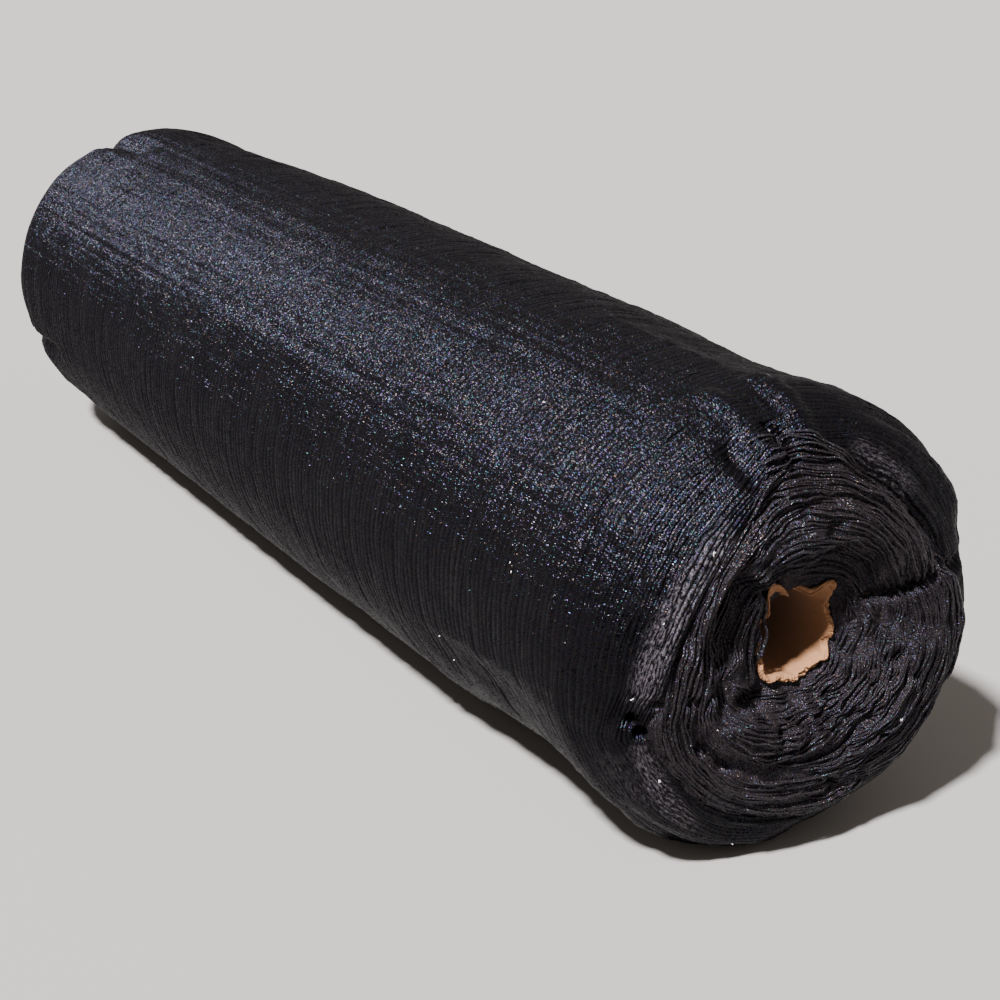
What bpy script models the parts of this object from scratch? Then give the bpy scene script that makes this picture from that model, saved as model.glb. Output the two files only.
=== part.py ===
"""Roll of bird netting: a bunched knitted net wound on a card core and laid on its side.

The roll's axis runs along X and its open, folded end faces +X. Lengths are in metres.
Two solids are made: the wound net, with the folds of its gathered ends, and the core.
"""
from collections import namedtuple
from math import pi, radians

import bmesh
import bpy
import numpy as np

# Driving dimensions
ROLL_LENGTH = 1.136        # over the crests of both ends
ROLL_MIDDLE = -0.0043      # of those crests, along X, with the origin below the roll's box
BODY_RADIUS = 0.145        # of the wound net
FLAT_DEPTH = 0.0025        # how far the roll has settled on the ground
CORE_BORE_RADIUS = 0.025   # a two-inch core
CORE_WALL = 0.004
CORE_SET_BACK = 0.018      # of the core's rim from the crest of the net
NET_GAP = 0.0003           # between the net and the core

AXIS_HEIGHT = BODY_RADIUS - FLAT_DEPTH
CORE_RADIUS = CORE_BORE_RADIUS + CORE_WALL
NET_BORE_RADIUS = CORE_RADIUS + NET_GAP

# An end of the roll: which way it faces, the radius of its crest, how deep it is dished
# from there to the core, and how far its rounded shoulder runs along the body.
End = namedtuple("End", "facing crest_radius dish shoulder")
NEAR = End(facing=1, crest_radius=0.085, dish=0.020, shoulder=0.065)
FAR = End(facing=-1, crest_radius=0.070, dish=0.018, shoulder=0.120)

# Rows of faces along each stretch of the net, and columns round it
FACE_ROWS = {NEAR: 13, FAR: 5}
SHOULDER_ROWS = {NEAR: 19, FAR: 9}
BODY_ROWS = 12
BODY_BUNCHING = 0.6        # of the body's rows towards its ends: 0 is evenly spaced
COLUMNS = 100
PROFILE_STEPS = 400        # fine steps from which a stretch's rows are measured out

# A fold runs through three places, each an angle in degrees (0 at +Y, 90 at the top) and a
# reach in millimetres. The reach is the distance from the axis as far as the body's radius,
# and goes on from there along the body. A fold with a height below zero is a crease.
Fold = namedtuple("Fold", "end angle_1 angle_2 angle_3 reach_1 reach_2 reach_3 height half_width")
FOLDS = {
    "outer wrap, left": Fold(NEAR, 94, 150, 192, 125, 106, 110, 4, 16),
    "outer wrap, below": Fold(NEAR, 214, 242, 276, 130, 132, 132, 4.5, 18),
    "outer wrap, right": Fold(NEAR, 78, 48, 22, 129, 127, 133, 5, 16),
    "shoulder, right": Fold(NEAR, 58, 40, 20, 141, 138, 134, 2, 22),
    "sag at the lower left": Fold(NEAR, 231, 247, 266, 145, 144, 142, 4.5, 28),
    "second wrap": Fold(NEAR, 112, 154, 196, 94, 88, 89, 3.5, 10),
    "upper lobe": Fold(NEAR, 122, 68, 22, 66, 76, 76, 9, 28),
    "lower lobe": Fold(NEAR, 202, 247, 290, 66, 62, 51, 9, 20),
    "right-hand swell": Fold(NEAR, 300, 332, 358, 84, 80, 84, 4, 34),
    "swell at the lower right": Fold(NEAR, 296, 330, 366, 124, 124, 124, 3.2, 30),
    "strap's inner edge": Fold(NEAR, 98, 142, 187, 112, 90, 103, -7, 10),
    "edge under the strap": Fold(NEAR, 193, 240, 290, 117, 112, 120, -5, 10),
    "edge over the upper lobe": Fold(NEAR, 80, 46, 17, 112, 102, 104, -10, 11),
    "nick in the shoulder": Fold(NEAR, 99, 98, 99, 112, 122, 136, -5, 9),
    "pocket beside the core": Fold(NEAR, 130, 154, 184, 66, 61, 58, -12, 24),
    "edge of the second wrap": Fold(NEAR, 124, 143, 164, 78, 72, 67, -4, 9),
    "edge below the upper lobe": Fold(NEAR, 27, 18, 17, 44, 70, 116, -6, 10),
    "edge above the lower lobe": Fold(NEAR, 236, 219, 203, 34, 50, 74, -8, 10),
    "edge below the lower lobe": Fold(NEAR, 198, 232, 270, 90, 86, 60, -4, 10),
    "waist behind the shoulder, top": Fold(NEAR, 90, 62, 30, 230, 230, 230, -6.5, 118),
    "waist behind the shoulder, below": Fold(NEAR, 192, 224, 254, 232, 228, 234, -8.5, 122),
    "far hollow, top": Fold(FAR, 86, 64, 40, 172, 176, 184, -6, 70),
    "far lobe, left": Fold(FAR, 120, 154, 190, 140, 136, 140, 2.6, 50),
    "far notch, top": Fold(FAR, 110, 109, 106, 60, 112, 205, -8, 18),
    "far notch, left": Fold(FAR, 204, 201, 197, 62, 112, 200, -8, 14),
    "far notch, below": Fold(FAR, 318, 316, 312, 58, 105, 180, -9, 14),
    "far waist": Fold(FAR, 80, 50, 20, 262, 256, 262, -3, 70),
    "far hollow, left": Fold(FAR, 216, 228, 240, 150, 160, 190, -2, 44),
    "far swirl": Fold(FAR, 60, 120, 178, 52, 70, 84, -7, 11),
    "far swirl, below": Fold(FAR, 230, 275, 330, 52, 74, 92, -7, 11),
    "long hollow, shoulder": Fold(NEAR, 68, 66, 70, 270, 400, 560, -2, 60),
    "long hollow, below": Fold(NEAR, 226, 224, 226, 270, 400, 560, -2, 55),
    "long ridge, far shoulder": Fold(FAR, 66, 65, 66, 380, 470, 560, 1.5, 55),
    "long hollow, top": Fold(NEAR, 96, 92, 95, 300, 560, 850, -1.6, 46),
    "long ridge, shoulder": Fold(NEAR, 128, 131, 127, 240, 520, 900, 1.5, 44),
    "long hollow, side": Fold(NEAR, 158, 163, 160, 260, 600, 880, -1.4, 42),
    "long ridge, behind": Fold(NEAR, 38, 34, 39, 260, 560, 860, 1.4, 44),
    "long hollow, behind": Fold(NEAR, 352, 356, 350, 260, 560, 860, -1.5, 44),
}
FOLD_STEPS = 33            # points that stand for a fold's line
FADE = 0.22                # share of a fold's length over which it rises at each end
MILLIMETRE = 0.001

# The core's rims are torn: an angle and half-width in degrees, and how far the card stands out
# there, or has gone where that is below zero, in millimetres.
Tear = namedtuple("Tear", "angle half_width height")
TEARS = {
    NEAR: (
        Tear(119, 20, 4.0), Tear(86, 20, -9.0), Tear(53, 18, 4.0), Tear(20, 20, -2.0),
        Tear(340, 12, -3.0), Tear(320, 11, 2.5), Tear(296, 14, -1.5), Tear(272, 10, 1.5),
        Tear(226, 24, 2.5), Tear(165, 24, -4.0),
    ),
    FAR: (Tear(70, 24, 2.0), Tear(160, 30, -2.2), Tear(255, 20, 2.5), Tear(330, 24, -1.6)),
}

# The card's fine raggedness: height in millimetres, waves round the rim, and phase
Ripple = namedtuple("Ripple", "height waves phase")
RIPPLES = (Ripple(0.6, 11, 0), Ripple(0.4, 23, 1))

# Edges across the wall at a rim: depth as a share of the wall, distance back from the rim in
# millimetres, and the share of the tears that it takes
Edge = namedtuple("Edge", "depth back tear_share")
RIM_EDGES = (Edge(0, 1.0, 0.6), Edge(0.5, 0, 1.0), Edge(1, 1.2, 0.4))
CORE_COLUMNS = 96

# Colours are linear values
NET_COLOUR = (0.0065, 0.0065, 0.0085, 1)
NET_ROUGHNESS = 0.6
CARD_COLOUR = (0.47, 0.30, 0.15, 1)
CARD_ROUGHNESS = 0.85
SHARP_ANGLE = radians(50)


def material(name, colour, roughness):
    """A plain Principled material for a solid."""
    made = bpy.data.materials.new(name)
    made.use_nodes = True
    shader = made.node_tree.nodes["Principled BSDF"]
    shader.inputs["Base Color"].default_value = colour
    shader.inputs["Roughness"].default_value = roughness
    shader.inputs["Metallic"].default_value = 0
    return made


def profile(end, reach):
    """Radius and distance back from the end's crest, for a reach measured in metres."""
    reach = np.asarray(reach, float)
    radius = np.minimum(reach, BODY_RADIUS)
    inward = (end.crest_radius - radius) / (end.crest_radius - NET_BORE_RADIUS)
    outward = (radius - end.crest_radius) / (BODY_RADIUS - end.crest_radius)
    dished = end.dish * np.square(np.maximum(inward, 0))
    rounded = end.shoulder * (1 - np.sqrt(1 - np.square(np.clip(outward, 0, 1))))
    return radius, dished + rounded + np.maximum(reach - BODY_RADIUS, 0)


def surface_point(end, angle, reach):
    """Places on the plain wound form, for an angle in radians and a reach in metres."""
    radius, back = profile(end, reach)
    along = ROLL_MIDDLE + end.facing * (ROLL_LENGTH / 2 - back)
    return np.stack([along, radius * np.cos(angle), AXIS_HEIGHT + radius * np.sin(angle)], axis=-1)


def even_reaches(end, first, last, rows):
    """Reaches from first to last that cut the profile into rows of equal length."""
    reach = last - (last - first) * np.cos(np.linspace(0, pi / 2, PROFILE_STEPS))
    radius, back = profile(end, reach)
    run = np.concatenate([[0], np.cumsum(np.hypot(np.diff(radius), np.diff(back)))])
    return np.interp(np.linspace(0, run[-1], rows + 1), run, reach)


def through_three(first, second, third, share):
    """The curve through three values at shares 0, 0.5 and 1."""
    return (first * (1 - share) * (1 - 2 * share) + 4 * second * share * (1 - share)
            + third * share * (2 * share - 1))


def fold_relief(points, fold):
    """How far a fold lifts each of the points off the plain form."""
    share = np.linspace(0, 1, FOLD_STEPS)
    angle = np.radians(through_three(fold.angle_1, fold.angle_2, fold.angle_3, share))
    reach = through_three(fold.reach_1, fold.reach_2, fold.reach_3, share) * MILLIMETRE
    line = surface_point(fold.end, angle, reach)
    start, step = line[:-1], np.diff(line, axis=0)
    offset = points[:, None, :] - start
    along = np.clip(np.sum(offset * step, axis=2) / np.sum(step * step, axis=1), 0, 1)
    apart = np.linalg.norm(offset - along[..., None] * step, axis=2)
    nearest = np.argmin(apart, axis=1)
    rows = np.arange(len(points))
    placed = (nearest + along[rows, nearest]) / len(start)
    across = np.clip(apart[rows, nearest] / (fold.half_width * MILLIMETRE), 0, 1)
    rise = np.clip(np.minimum(placed, 1 - placed) / FADE, 0, 1)
    return fold.height * MILLIMETRE * (1 - across ** 2) ** 2 * np.sin(rise * pi / 2)


def net_rows():
    """Each row round the net as its end and reach, from the near bore rim to the far one."""
    near_face = even_reaches(NEAR, NET_BORE_RADIUS, NEAR.crest_radius, FACE_ROWS[NEAR])
    near_shoulder = even_reaches(NEAR, NEAR.crest_radius, BODY_RADIUS, SHOULDER_ROWS[NEAR])
    far_face = even_reaches(FAR, NET_BORE_RADIUS, FAR.crest_radius, FACE_ROWS[FAR])
    far_shoulder = even_reaches(FAR, FAR.crest_radius, BODY_RADIUS, SHOULDER_ROWS[FAR])
    body_length = ROLL_LENGTH - NEAR.shoulder - FAR.shoulder
    share = np.linspace(0, 1, BODY_ROWS + 1)
    share -= BODY_BUNCHING * np.sin(2 * pi * share) / (2 * pi)
    body = BODY_RADIUS + body_length * share
    near = [(NEAR, reach) for reach in (*near_face, *near_shoulder[1:], *body[1:-1])]
    far = [(FAR, reach) for reach in (*far_face, *far_shoulder[1:])]
    return near + far[::-1]


def outward_normals(grid):
    """Normals of a grid of points whose rows run round the roll and whose columns run along it."""
    around = np.roll(grid, -1, axis=1) - np.roll(grid, 1, axis=1)
    along = np.gradient(grid, axis=0)
    normal = np.cross(along, around)
    return normal / np.linalg.norm(normal, axis=2, keepdims=True)


def closed_grid(name, grid, face_material):
    """A mesh object from rings of points that close on themselves both ways."""
    rings, columns, _ = grid.shape
    mesh = bmesh.new()
    vertices = [[mesh.verts.new(point) for point in ring] for ring in grid.tolist()]
    for ring in range(rings):
        here, there = vertices[ring], vertices[(ring + 1) % rings]
        for column in range(columns):
            beside = (column + 1) % columns
            mesh.faces.new((here[column], there[column], there[beside], here[beside]))
    bmesh.ops.recalc_face_normals(mesh, faces=mesh.faces)
    data = bpy.data.meshes.new(name)
    mesh.to_mesh(data)
    mesh.free()
    data.materials.append(face_material)
    data.shade_smooth()
    data.set_sharp_from_angle(angle=SHARP_ANGLE)
    made = bpy.data.objects.new(name, data)
    bpy.context.collection.objects.link(made)
    return made


def build_net():
    """The wound net: one body with folded ends, a bore for the core and a flat spot below."""
    angles = np.linspace(0, 2 * pi, COLUMNS, endpoint=False)
    rows = net_rows()
    plain = np.stack([surface_point(end, angles, np.full(COLUMNS, reach)) for end, reach in rows])
    points = plain.reshape(-1, 3)
    relief = sum(fold_relief(points, fold) for fold in FOLDS.values()).reshape(plain.shape[:2])
    rim_distance = np.array([reach - NET_BORE_RADIUS for _, reach in rows])
    rim_hold = np.clip(rim_distance / CORE_WALL, 0, 1)
    grid = plain + outward_normals(plain) * (relief * rim_hold[:, None])[..., None]
    grid[..., 2] = np.maximum(grid[..., 2], 0)
    return closed_grid("netting_roll", grid, material("knitted net", NET_COLOUR, NET_ROUGHNESS))


def rim_offset(angles, tears):
    """How far a torn rim stands out at each angle, in millimetres."""
    offset = sum(ripple.height * np.sin(ripple.waves * angles + ripple.phase) for ripple in RIPPLES)
    for tear in tears:
        away = np.abs((np.degrees(angles) - tear.angle + 180) % 360 - 180) / tear.half_width
        offset += tear.height * np.square(np.clip(1 - away, 0, 1))
    return offset


def rim_rings(end, angles):
    """The rings of points across the wall at one rim of the core, from outside to inside."""
    rings = []
    for edge in RIM_EDGES:
        radius = CORE_RADIUS - edge.depth * CORE_WALL
        outward = (edge.tear_share * rim_offset(angles, TEARS[end]) - edge.back) * MILLIMETRE
        along = ROLL_MIDDLE + end.facing * (ROLL_LENGTH / 2 - CORE_SET_BACK + outward)
        across, height = radius * np.cos(angles), AXIS_HEIGHT + radius * np.sin(angles)
        rings.append(np.stack([along, across, height], axis=-1))
    return rings


def build_core():
    """The card tube, with torn rims."""
    angles = np.linspace(0, 2 * pi, CORE_COLUMNS, endpoint=False)
    grid = np.stack(rim_rings(NEAR, angles) + rim_rings(FAR, angles)[::-1])
    return closed_grid("core_tube", grid, material("kraft card", CARD_COLOUR, CARD_ROUGHNESS))


def main():
    """Clear the scene and build the roll."""
    for item in list(bpy.data.objects):
        bpy.data.objects.remove(item, do_unlink=True)
    build_net()
    build_core()


main()
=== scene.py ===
"""Roll of bird netting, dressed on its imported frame.

The net is bunched into strands and wound on a card core. The strands run round the body, roll
over its shoulders and are gathered into lobes and hollows on both ends. Lengths are in metres
unless a name or a table's note says millimetres.
"""
from collections import namedtuple
from math import cos, pi, radians, sin

import bpy
import numpy as np
from bpy.props import FloatProperty, FloatVectorProperty, IntProperty, PointerProperty
from mathutils import Matrix, Vector


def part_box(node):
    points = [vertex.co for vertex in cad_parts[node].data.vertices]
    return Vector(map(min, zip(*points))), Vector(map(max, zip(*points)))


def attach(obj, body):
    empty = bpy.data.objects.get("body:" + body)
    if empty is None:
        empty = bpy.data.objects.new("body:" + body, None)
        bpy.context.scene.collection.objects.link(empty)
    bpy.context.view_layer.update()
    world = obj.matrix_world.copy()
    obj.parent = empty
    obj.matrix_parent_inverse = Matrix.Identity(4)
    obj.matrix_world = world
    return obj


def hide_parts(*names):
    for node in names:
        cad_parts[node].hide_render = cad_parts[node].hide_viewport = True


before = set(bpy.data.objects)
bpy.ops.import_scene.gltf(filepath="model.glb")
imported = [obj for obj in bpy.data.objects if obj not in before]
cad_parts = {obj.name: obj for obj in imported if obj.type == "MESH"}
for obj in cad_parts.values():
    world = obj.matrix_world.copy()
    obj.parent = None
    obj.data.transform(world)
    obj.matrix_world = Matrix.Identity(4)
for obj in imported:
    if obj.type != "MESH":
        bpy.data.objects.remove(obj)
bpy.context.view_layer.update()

bl_info = {
    "name": "Bird netting roll",
    "version": (1, 0, 0),
    "blender": (4, 5, 0),
    "location": "View3D > Sidebar > Netting",
    "description": "Builds a wound roll of bunched bird netting on its card core",
    "category": "Add Mesh",
}

MILLIMETRE = 0.001
BODY = "root"

# The wound form, from the frame
NET_LOW, NET_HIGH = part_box("netting_roll")
CORE_LOW, CORE_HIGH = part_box("core_tube")
BODY_RADIUS = (NET_HIGH.y - NET_LOW.y) / 2
AXIS_HEIGHT = (CORE_HIGH.z + CORE_LOW.z) / 2
CORE_RADIUS = (CORE_HIGH.z - CORE_LOW.z) / 2
FAR_CREST = NET_LOW.x
ROLL_LENGTH = 1.136
MIDDLE = FAR_CREST + ROLL_LENGTH / 2
CORE_WALL = 0.004
CORE_BORE_RADIUS = CORE_RADIUS - CORE_WALL
CORE_SET_BACK = 0.018
NET_BORE_RADIUS = CORE_RADIUS + 0.3 * MILLIMETRE

# An end of the roll: which way it faces, the radius of its crest, how deep it is dished
# from there to the core, and how far its rounded shoulder runs along the body.
End = namedtuple("End", "facing crest_radius dish shoulder")
NEAR = End(facing=1, crest_radius=0.085, dish=0.020, shoulder=0.065)
FAR = End(facing=-1, crest_radius=0.070, dish=0.018, shoulder=0.120)

# A fold runs through three places, each an angle in degrees (0 at +Y, 90 at the top) and a
# reach in millimetres. The reach is the distance from the axis as far as the body's radius,
# and goes on from there along the body. Its height and half-width are in millimetres too. A fold
# with a height below zero is a crease.
Fold = namedtuple("Fold", "end angle_1 angle_2 angle_3 reach_1 reach_2 reach_3 height half_width")
FOLDS = {
    "outer wrap, left": Fold(NEAR, 94, 150, 192, 125, 106, 110, 4, 16),
    "outer wrap, below": Fold(NEAR, 214, 242, 276, 130, 132, 132, 4.5, 18),
    "outer wrap, right": Fold(NEAR, 78, 48, 22, 129, 127, 133, 5, 16),
    "shoulder, right": Fold(NEAR, 58, 40, 20, 141, 138, 134, 2, 22),
    "sag at the lower left": Fold(NEAR, 231, 247, 266, 145, 144, 142, 4.5, 28),
    "second wrap": Fold(NEAR, 112, 154, 196, 94, 88, 89, 3.5, 10),
    "upper lobe": Fold(NEAR, 122, 68, 22, 66, 76, 76, 9, 28),
    "lower lobe": Fold(NEAR, 202, 247, 290, 66, 62, 51, 9, 20),
    "right-hand swell": Fold(NEAR, 300, 332, 358, 84, 80, 84, 4, 34),
    "swell at the lower right": Fold(NEAR, 296, 330, 366, 124, 124, 124, 3.2, 30),
    "strap's inner edge": Fold(NEAR, 98, 142, 187, 112, 90, 103, -6, 6),
    "edge under the strap": Fold(NEAR, 193, 240, 290, 117, 112, 120, -5, 7),
    "edge over the upper lobe": Fold(NEAR, 80, 46, 17, 112, 102, 104, -10, 9),
    "nick in the shoulder": Fold(NEAR, 99, 98, 99, 112, 122, 136, -5, 7),
    "pocket beside the core": Fold(NEAR, 130, 154, 184, 66, 61, 58, -12, 24),
    "edge of the second wrap": Fold(NEAR, 124, 143, 164, 78, 72, 67, -4, 7),
    "edge below the upper lobe": Fold(NEAR, 27, 18, 17, 44, 70, 116, -5, 6),
    "edge above the lower lobe": Fold(NEAR, 236, 219, 203, 34, 50, 74, -8, 10),
    "edge below the lower lobe": Fold(NEAR, 198, 232, 270, 90, 86, 60, -4, 8),
    "waist behind the shoulder, top": Fold(NEAR, 90, 62, 30, 230, 230, 230, -6.5, 118),
    "waist behind the shoulder, below": Fold(NEAR, 192, 224, 254, 232, 228, 234, -8.5, 122),
    "far hollow, top": Fold(FAR, 86, 64, 40, 172, 176, 184, -6, 70),
    "far lobe, left": Fold(FAR, 120, 154, 190, 140, 136, 140, 2.6, 50),
    "far notch, top": Fold(FAR, 110, 109, 106, 60, 112, 205, -8, 18),
    "far notch, left": Fold(FAR, 204, 201, 197, 62, 112, 200, -8, 14),
    "far notch, below": Fold(FAR, 318, 316, 312, 58, 105, 180, -9, 14),
    "far waist": Fold(FAR, 80, 50, 20, 262, 256, 262, -3, 70),
    "far hollow, left": Fold(FAR, 216, 228, 240, 150, 160, 190, -2, 44),
    "far swirl": Fold(FAR, 60, 120, 178, 52, 70, 84, -7, 11),
    "far swirl, below": Fold(FAR, 230, 275, 330, 52, 74, 92, -7, 11),
    "long hollow, shoulder": Fold(NEAR, 68, 66, 70, 270, 400, 560, -2, 60),
    "long hollow, below": Fold(NEAR, 226, 224, 226, 270, 400, 560, -2, 55),
    "long ridge, far shoulder": Fold(FAR, 66, 65, 66, 380, 470, 560, 1.5, 55),
    "long hollow, top": Fold(NEAR, 96, 92, 95, 300, 560, 850, -1.6, 46),
    "long ridge, shoulder": Fold(NEAR, 128, 131, 127, 240, 520, 900, 1.5, 44),
    "long hollow, side": Fold(NEAR, 158, 163, 160, 260, 600, 880, -1.4, 42),
    "long ridge, behind": Fold(NEAR, 38, 34, 39, 260, 560, 860, 1.4, 44),
    "long hollow, behind": Fold(NEAR, 352, 356, 350, 260, 560, 860, -1.5, 44),
}
FADE = 0.22                # share of a fold's length over which it rises at each end
FOLD_STEPS = 33            # points that stand for a fold's line

# Creases too narrow for the solids, cut along the edges of the wraps and lobes
FINE_FOLDS = {
    "slit below the upper lobe": Fold(NEAR, 28, 18, 17, 43, 68, 104, -2.5, 2.5),
    "nick's cut": Fold(NEAR, 99, 97, 98, 136, 125, 113, -6, 3.5),
    "gap below the lower lobe": Fold(NEAR, 195, 222, 256, 88, 90, 58, -3, 5),
    "gap in the right": Fold(NEAR, 246, 272, 306, 58, 51, 62, -4, 5),
    "notch at the right": Fold(NEAR, 15, 13, 11, 106, 118, 136, -6, 8),
    "under the first arch": Fold(NEAR, 112, 64, 22, 87, 89, 70, -3, 5),
    "under the inner arch": Fold(NEAR, 112, 64, 28, 61, 62, 52, -3, 5),
    "bulge below the holes": Fold(NEAR, 191, 198, 206, 126, 128, 130, 3.5, 10),
    "pocket's lower end": Fold(NEAR, 176, 192, 208, 60, 60, 64, -6, 14),
    "crumple, far right": Fold(NEAR, 340, 322, 300, 92, 96, 90, -3, 5),
    "crumple, lower right": Fold(NEAR, 322, 304, 286, 74, 72, 84, -3.5, 5),
    "crumple, outer": Fold(NEAR, 312, 296, 282, 104, 98, 108, -3, 5),
    "crumple, right": Fold(NEAR, 349, 336, 320, 68, 66, 73, -3, 5),
    "crumple, core's right": Fold(NEAR, 336, 324, 310, 55, 54, 52, -3, 4.5),
    "crumple, below the core": Fold(NEAR, 300, 290, 276, 43, 50, 58, -3, 4.5),
    "hollow beside the pucker": Fold(NEAR, 112, 112, 111, 112, 124, 138, -3.5, 9),
    "pucker": Fold(NEAR, 103, 103, 105, 116, 130, 156, 3.5, 11),
    "pucker, right": Fold(NEAR, 91, 90, 89, 116, 128, 156, 4, 13),
}

# Small pits between the strands: an angle in degrees, then lengths in millimetres
Pit = namedtuple("Pit", "end angle reach depth radius")
PITS = (
    Pit(NEAR, 192, 121, 17, 5), Pit(NEAR, 197, 119, 17, 5.5), Pit(NEAR, 188, 107, 5, 6),
    Pit(NEAR, 190, 88, 5, 6), Pit(NEAR, 215, 91, 5, 7), Pit(NEAR, 229, 88, 5, 7),
    Pit(NEAR, 250, 58, 5, 7), Pit(NEAR, 270, 52, 4, 8), Pit(NEAR, 300, 46, 5, 7),
    Pit(NEAR, 340, 67, 6, 7), Pit(NEAR, 305, 62, 4, 6), Pit(NEAR, 318, 47, 4, 6),
    Pit(NEAR, 322, 60, 4, 6), Pit(NEAR, 335, 81, 4, 7), Pit(NEAR, 308, 85, 4, 6),
    Pit(NEAR, 282, 99, 9, 6), Pit(NEAR, 86, 76, 4, 8), Pit(NEAR, 98, 87, 4, 7),
    Pit(NEAR, 78, 63, 4, 8), Pit(NEAR, 40, 100, 4, 8), Pit(NEAR, 21, 101, 5, 8),
    Pit(NEAR, 121, 42, 9, 15), Pit(NEAR, 53, 38, 4, 10),
)

# Where the net's colour is painted pale grey, a painted sheen on the near end and its shoulder: each
# row's height is how much, in thousandths
PAINTED_SHEEN_PATCHES = (
    Fold(NEAR, 124, 156, 190, 104, 104, 117, 1000, 13),
    Fold(NEAR, 200, 226, 262, 132, 136, 142, 200, 26),
    Fold(NEAR, 199, 218, 240, 121, 122, 128, 1000, 10),
    Fold(NEAR, 352, 330, 300, 76, 84, 84, 450, 26),
    Fold(NEAR, 77, 62, 46, 120, 113, 109, 450, 12),
    Fold(NEAR, 190, 176, 160, 82, 76, 80, 500, 12),
)

# The lips that the outer wraps roll over, in order round the near end
NEAR_LIPS = ("edge over the upper lobe", "strap's inner edge", "edge under the strap")
FAR_LIP_REACH = 0.104
FAR_LIP_SWAY = 0.004

# Strands round the body
RING_REACH = 0.152         # from here the strands run square round the roll
SHOULDER_STRANDS = {NEAR: 24, FAR: 22}

# A sheaf of strands lies between an inner and an outer line on an end, each given as angles and
# reaches in the units of the folds. Unrest is how much its strands sway and rise.
Line = namedtuple("Line", "angles reaches")
Sheaf = namedtuple("Sheaf", "end unrest inner outer")
SHEAVES = {
    "beside the core": Sheaf(
        NEAR, 0.5,
        Line((134, 146, 165, 190, 212), (38, 31, 26.5, 28, 34)),
        Line((128, 142, 166, 196, 218), (54, 43, 39, 40, 43))),
    "over the core's rim": Sheaf(
        NEAR, 0.15,
        Line((141, 152, 166, 184, 206), (35, 31, 28.5, 29, 32)),
        Line((140, 151, 165, 184, 206), (40, 36, 34, 34, 37))),
    "pocket": Sheaf(
        NEAR, 0.8,
        Line((122, 140, 158, 172, 184, 194), (46, 43, 41, 42, 44, 54)),
        Line((118, 136, 156, 176, 191), (88, 82, 76, 71, 70))),
    "second wrap": Sheaf(
        NEAR, 0.7,
        Line((112, 136, 157, 176, 200, 236, 262, 296), (88, 83, 79, 72, 84, 90, 84, 86)),
        Line((98, 120, 147, 172, 190, 206, 236, 262, 296), (113, 100, 91, 96, 103, 107, 105, 106, 112))),
    "below the strap": Sheaf(
        NEAR, 0.8,
        Line((190, 205, 230, 262, 296), (105, 109, 106, 107, 112)),
        Line((193, 203, 226, 258, 276, 296), (113, 114, 113, 115, 120, 124))),
    "upper lobe": Sheaf(
        NEAR, 1.0,
        Line((132, 116, 99, 82, 60, 40, 20), (48, 54, 53, 55, 53, 50, 49)),
        Line((124, 110, 94, 78, 62, 44, 30, 15), (96, 111, 110, 103, 98, 94, 92, 92))),
    "below the outer wrap": Sheaf(
        NEAR, 0.9,
        Line((110, 92, 66, 42, 17), (113, 111, 100, 95, 92)),
        Line((106, 91, 68, 44, 17), (131, 126, 109, 103, 105))),
    "by the core, above": Sheaf(
        NEAR, 0.8,
        Line((106, 90, 72, 52, 25), (41, 35, 35, 41, 40)),
        Line((122, 96, 72, 48, 20), (55, 50, 50, 49, 48))),
    "lower lobe": Sheaf(
        NEAR, 1.4,
        Line((196, 214, 239, 264, 292), (52, 44, 36, 34, 35)),
        Line((192, 200, 211, 226, 242, 258, 276, 292), (78, 85, 87, 84, 80, 73, 68, 66))),
    "right, inner": Sheaf(
        NEAR, 2.2,
        Line((396, 356, 325, 286), (34, 32.5, 33, 35)),
        Line((380, 352, 326, 300, 280), (64, 72, 74, 73, 69))),
    "right, outer": Sheaf(
        NEAR, 0.9,
        Line((379, 352, 326, 300, 268, 250), (66, 74, 76, 76, 74, 75)),
        Line((377, 353, 333, 313, 296), (112, 125, 127, 125, 114))),
    "far left": Sheaf(
        FAR, 1.0,
        Line((111, 156, 200), (32, 32, 32)),
        Line((111, 156, 201), (104, 107, 104))),
    "far right": Sheaf(
        FAR, 1.0,
        Line((-42, 34, 107), (32, 32, 32)),
        Line((-42, 34, 108), (104, 107, 104))),
    "far below": Sheaf(
        FAR, 1.0,
        Line((204, 260, 316), (32, 32, 32)),
        Line((204, 260, 316), (104, 107, 104))),
}

# The pieces of the ends: the distance between the points along a strand, and their sheaves
EndPiece = namedtuple("EndPiece", "step sheaves")
END_PIECES = {
    "net_end_near_left": EndPiece(0.0025, (
        "beside the core", "over the core's rim", "pocket", "second wrap", "below the strap")),
    "net_end_near_top": EndPiece(0.0025, ("upper lobe", "below the outer wrap", "by the core, above")),
    "net_end_near_right": EndPiece(0.0025, ("lower lobe", "right, inner", "right, outer")),
    "net_end_far": EndPiece(0.006, ("far left", "far right", "far below")),
}

# Torn places in the core's rim: an angle and half-width in degrees, how far the card stands
# out there, or has gone where that is below zero, and how far it bends outward, in millimetres.
Tear = namedtuple("Tear", "angle half_width height flare")
TEARS = {
    NEAR: (
        Tear(119, 20, 4.0, 17.0), Tear(86, 20, -9.0, 2.0), Tear(53, 18, 4.0, 10.0),
        Tear(20, 20, -2.0, 0.0), Tear(340, 12, -3.0, 0.0), Tear(320, 11, 2.5, 2.0),
        Tear(296, 14, -1.5, 0.0), Tear(272, 10, 1.5, 1.0), Tear(226, 24, 2.5, 5.0),
        Tear(165, 24, -4.0, 0.0),
    ),
    FAR: (
        Tear(70, 24, 2.0, 3.0), Tear(160, 30, -2.2, 0.0), Tear(255, 20, 2.5, 3.0),
        Tear(330, 24, -1.6, 0.0),
    ),
}
PLIES = 5
TEAR_LENGTH = 0.016        # how far back from the rim the torn card has begun to bend

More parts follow.
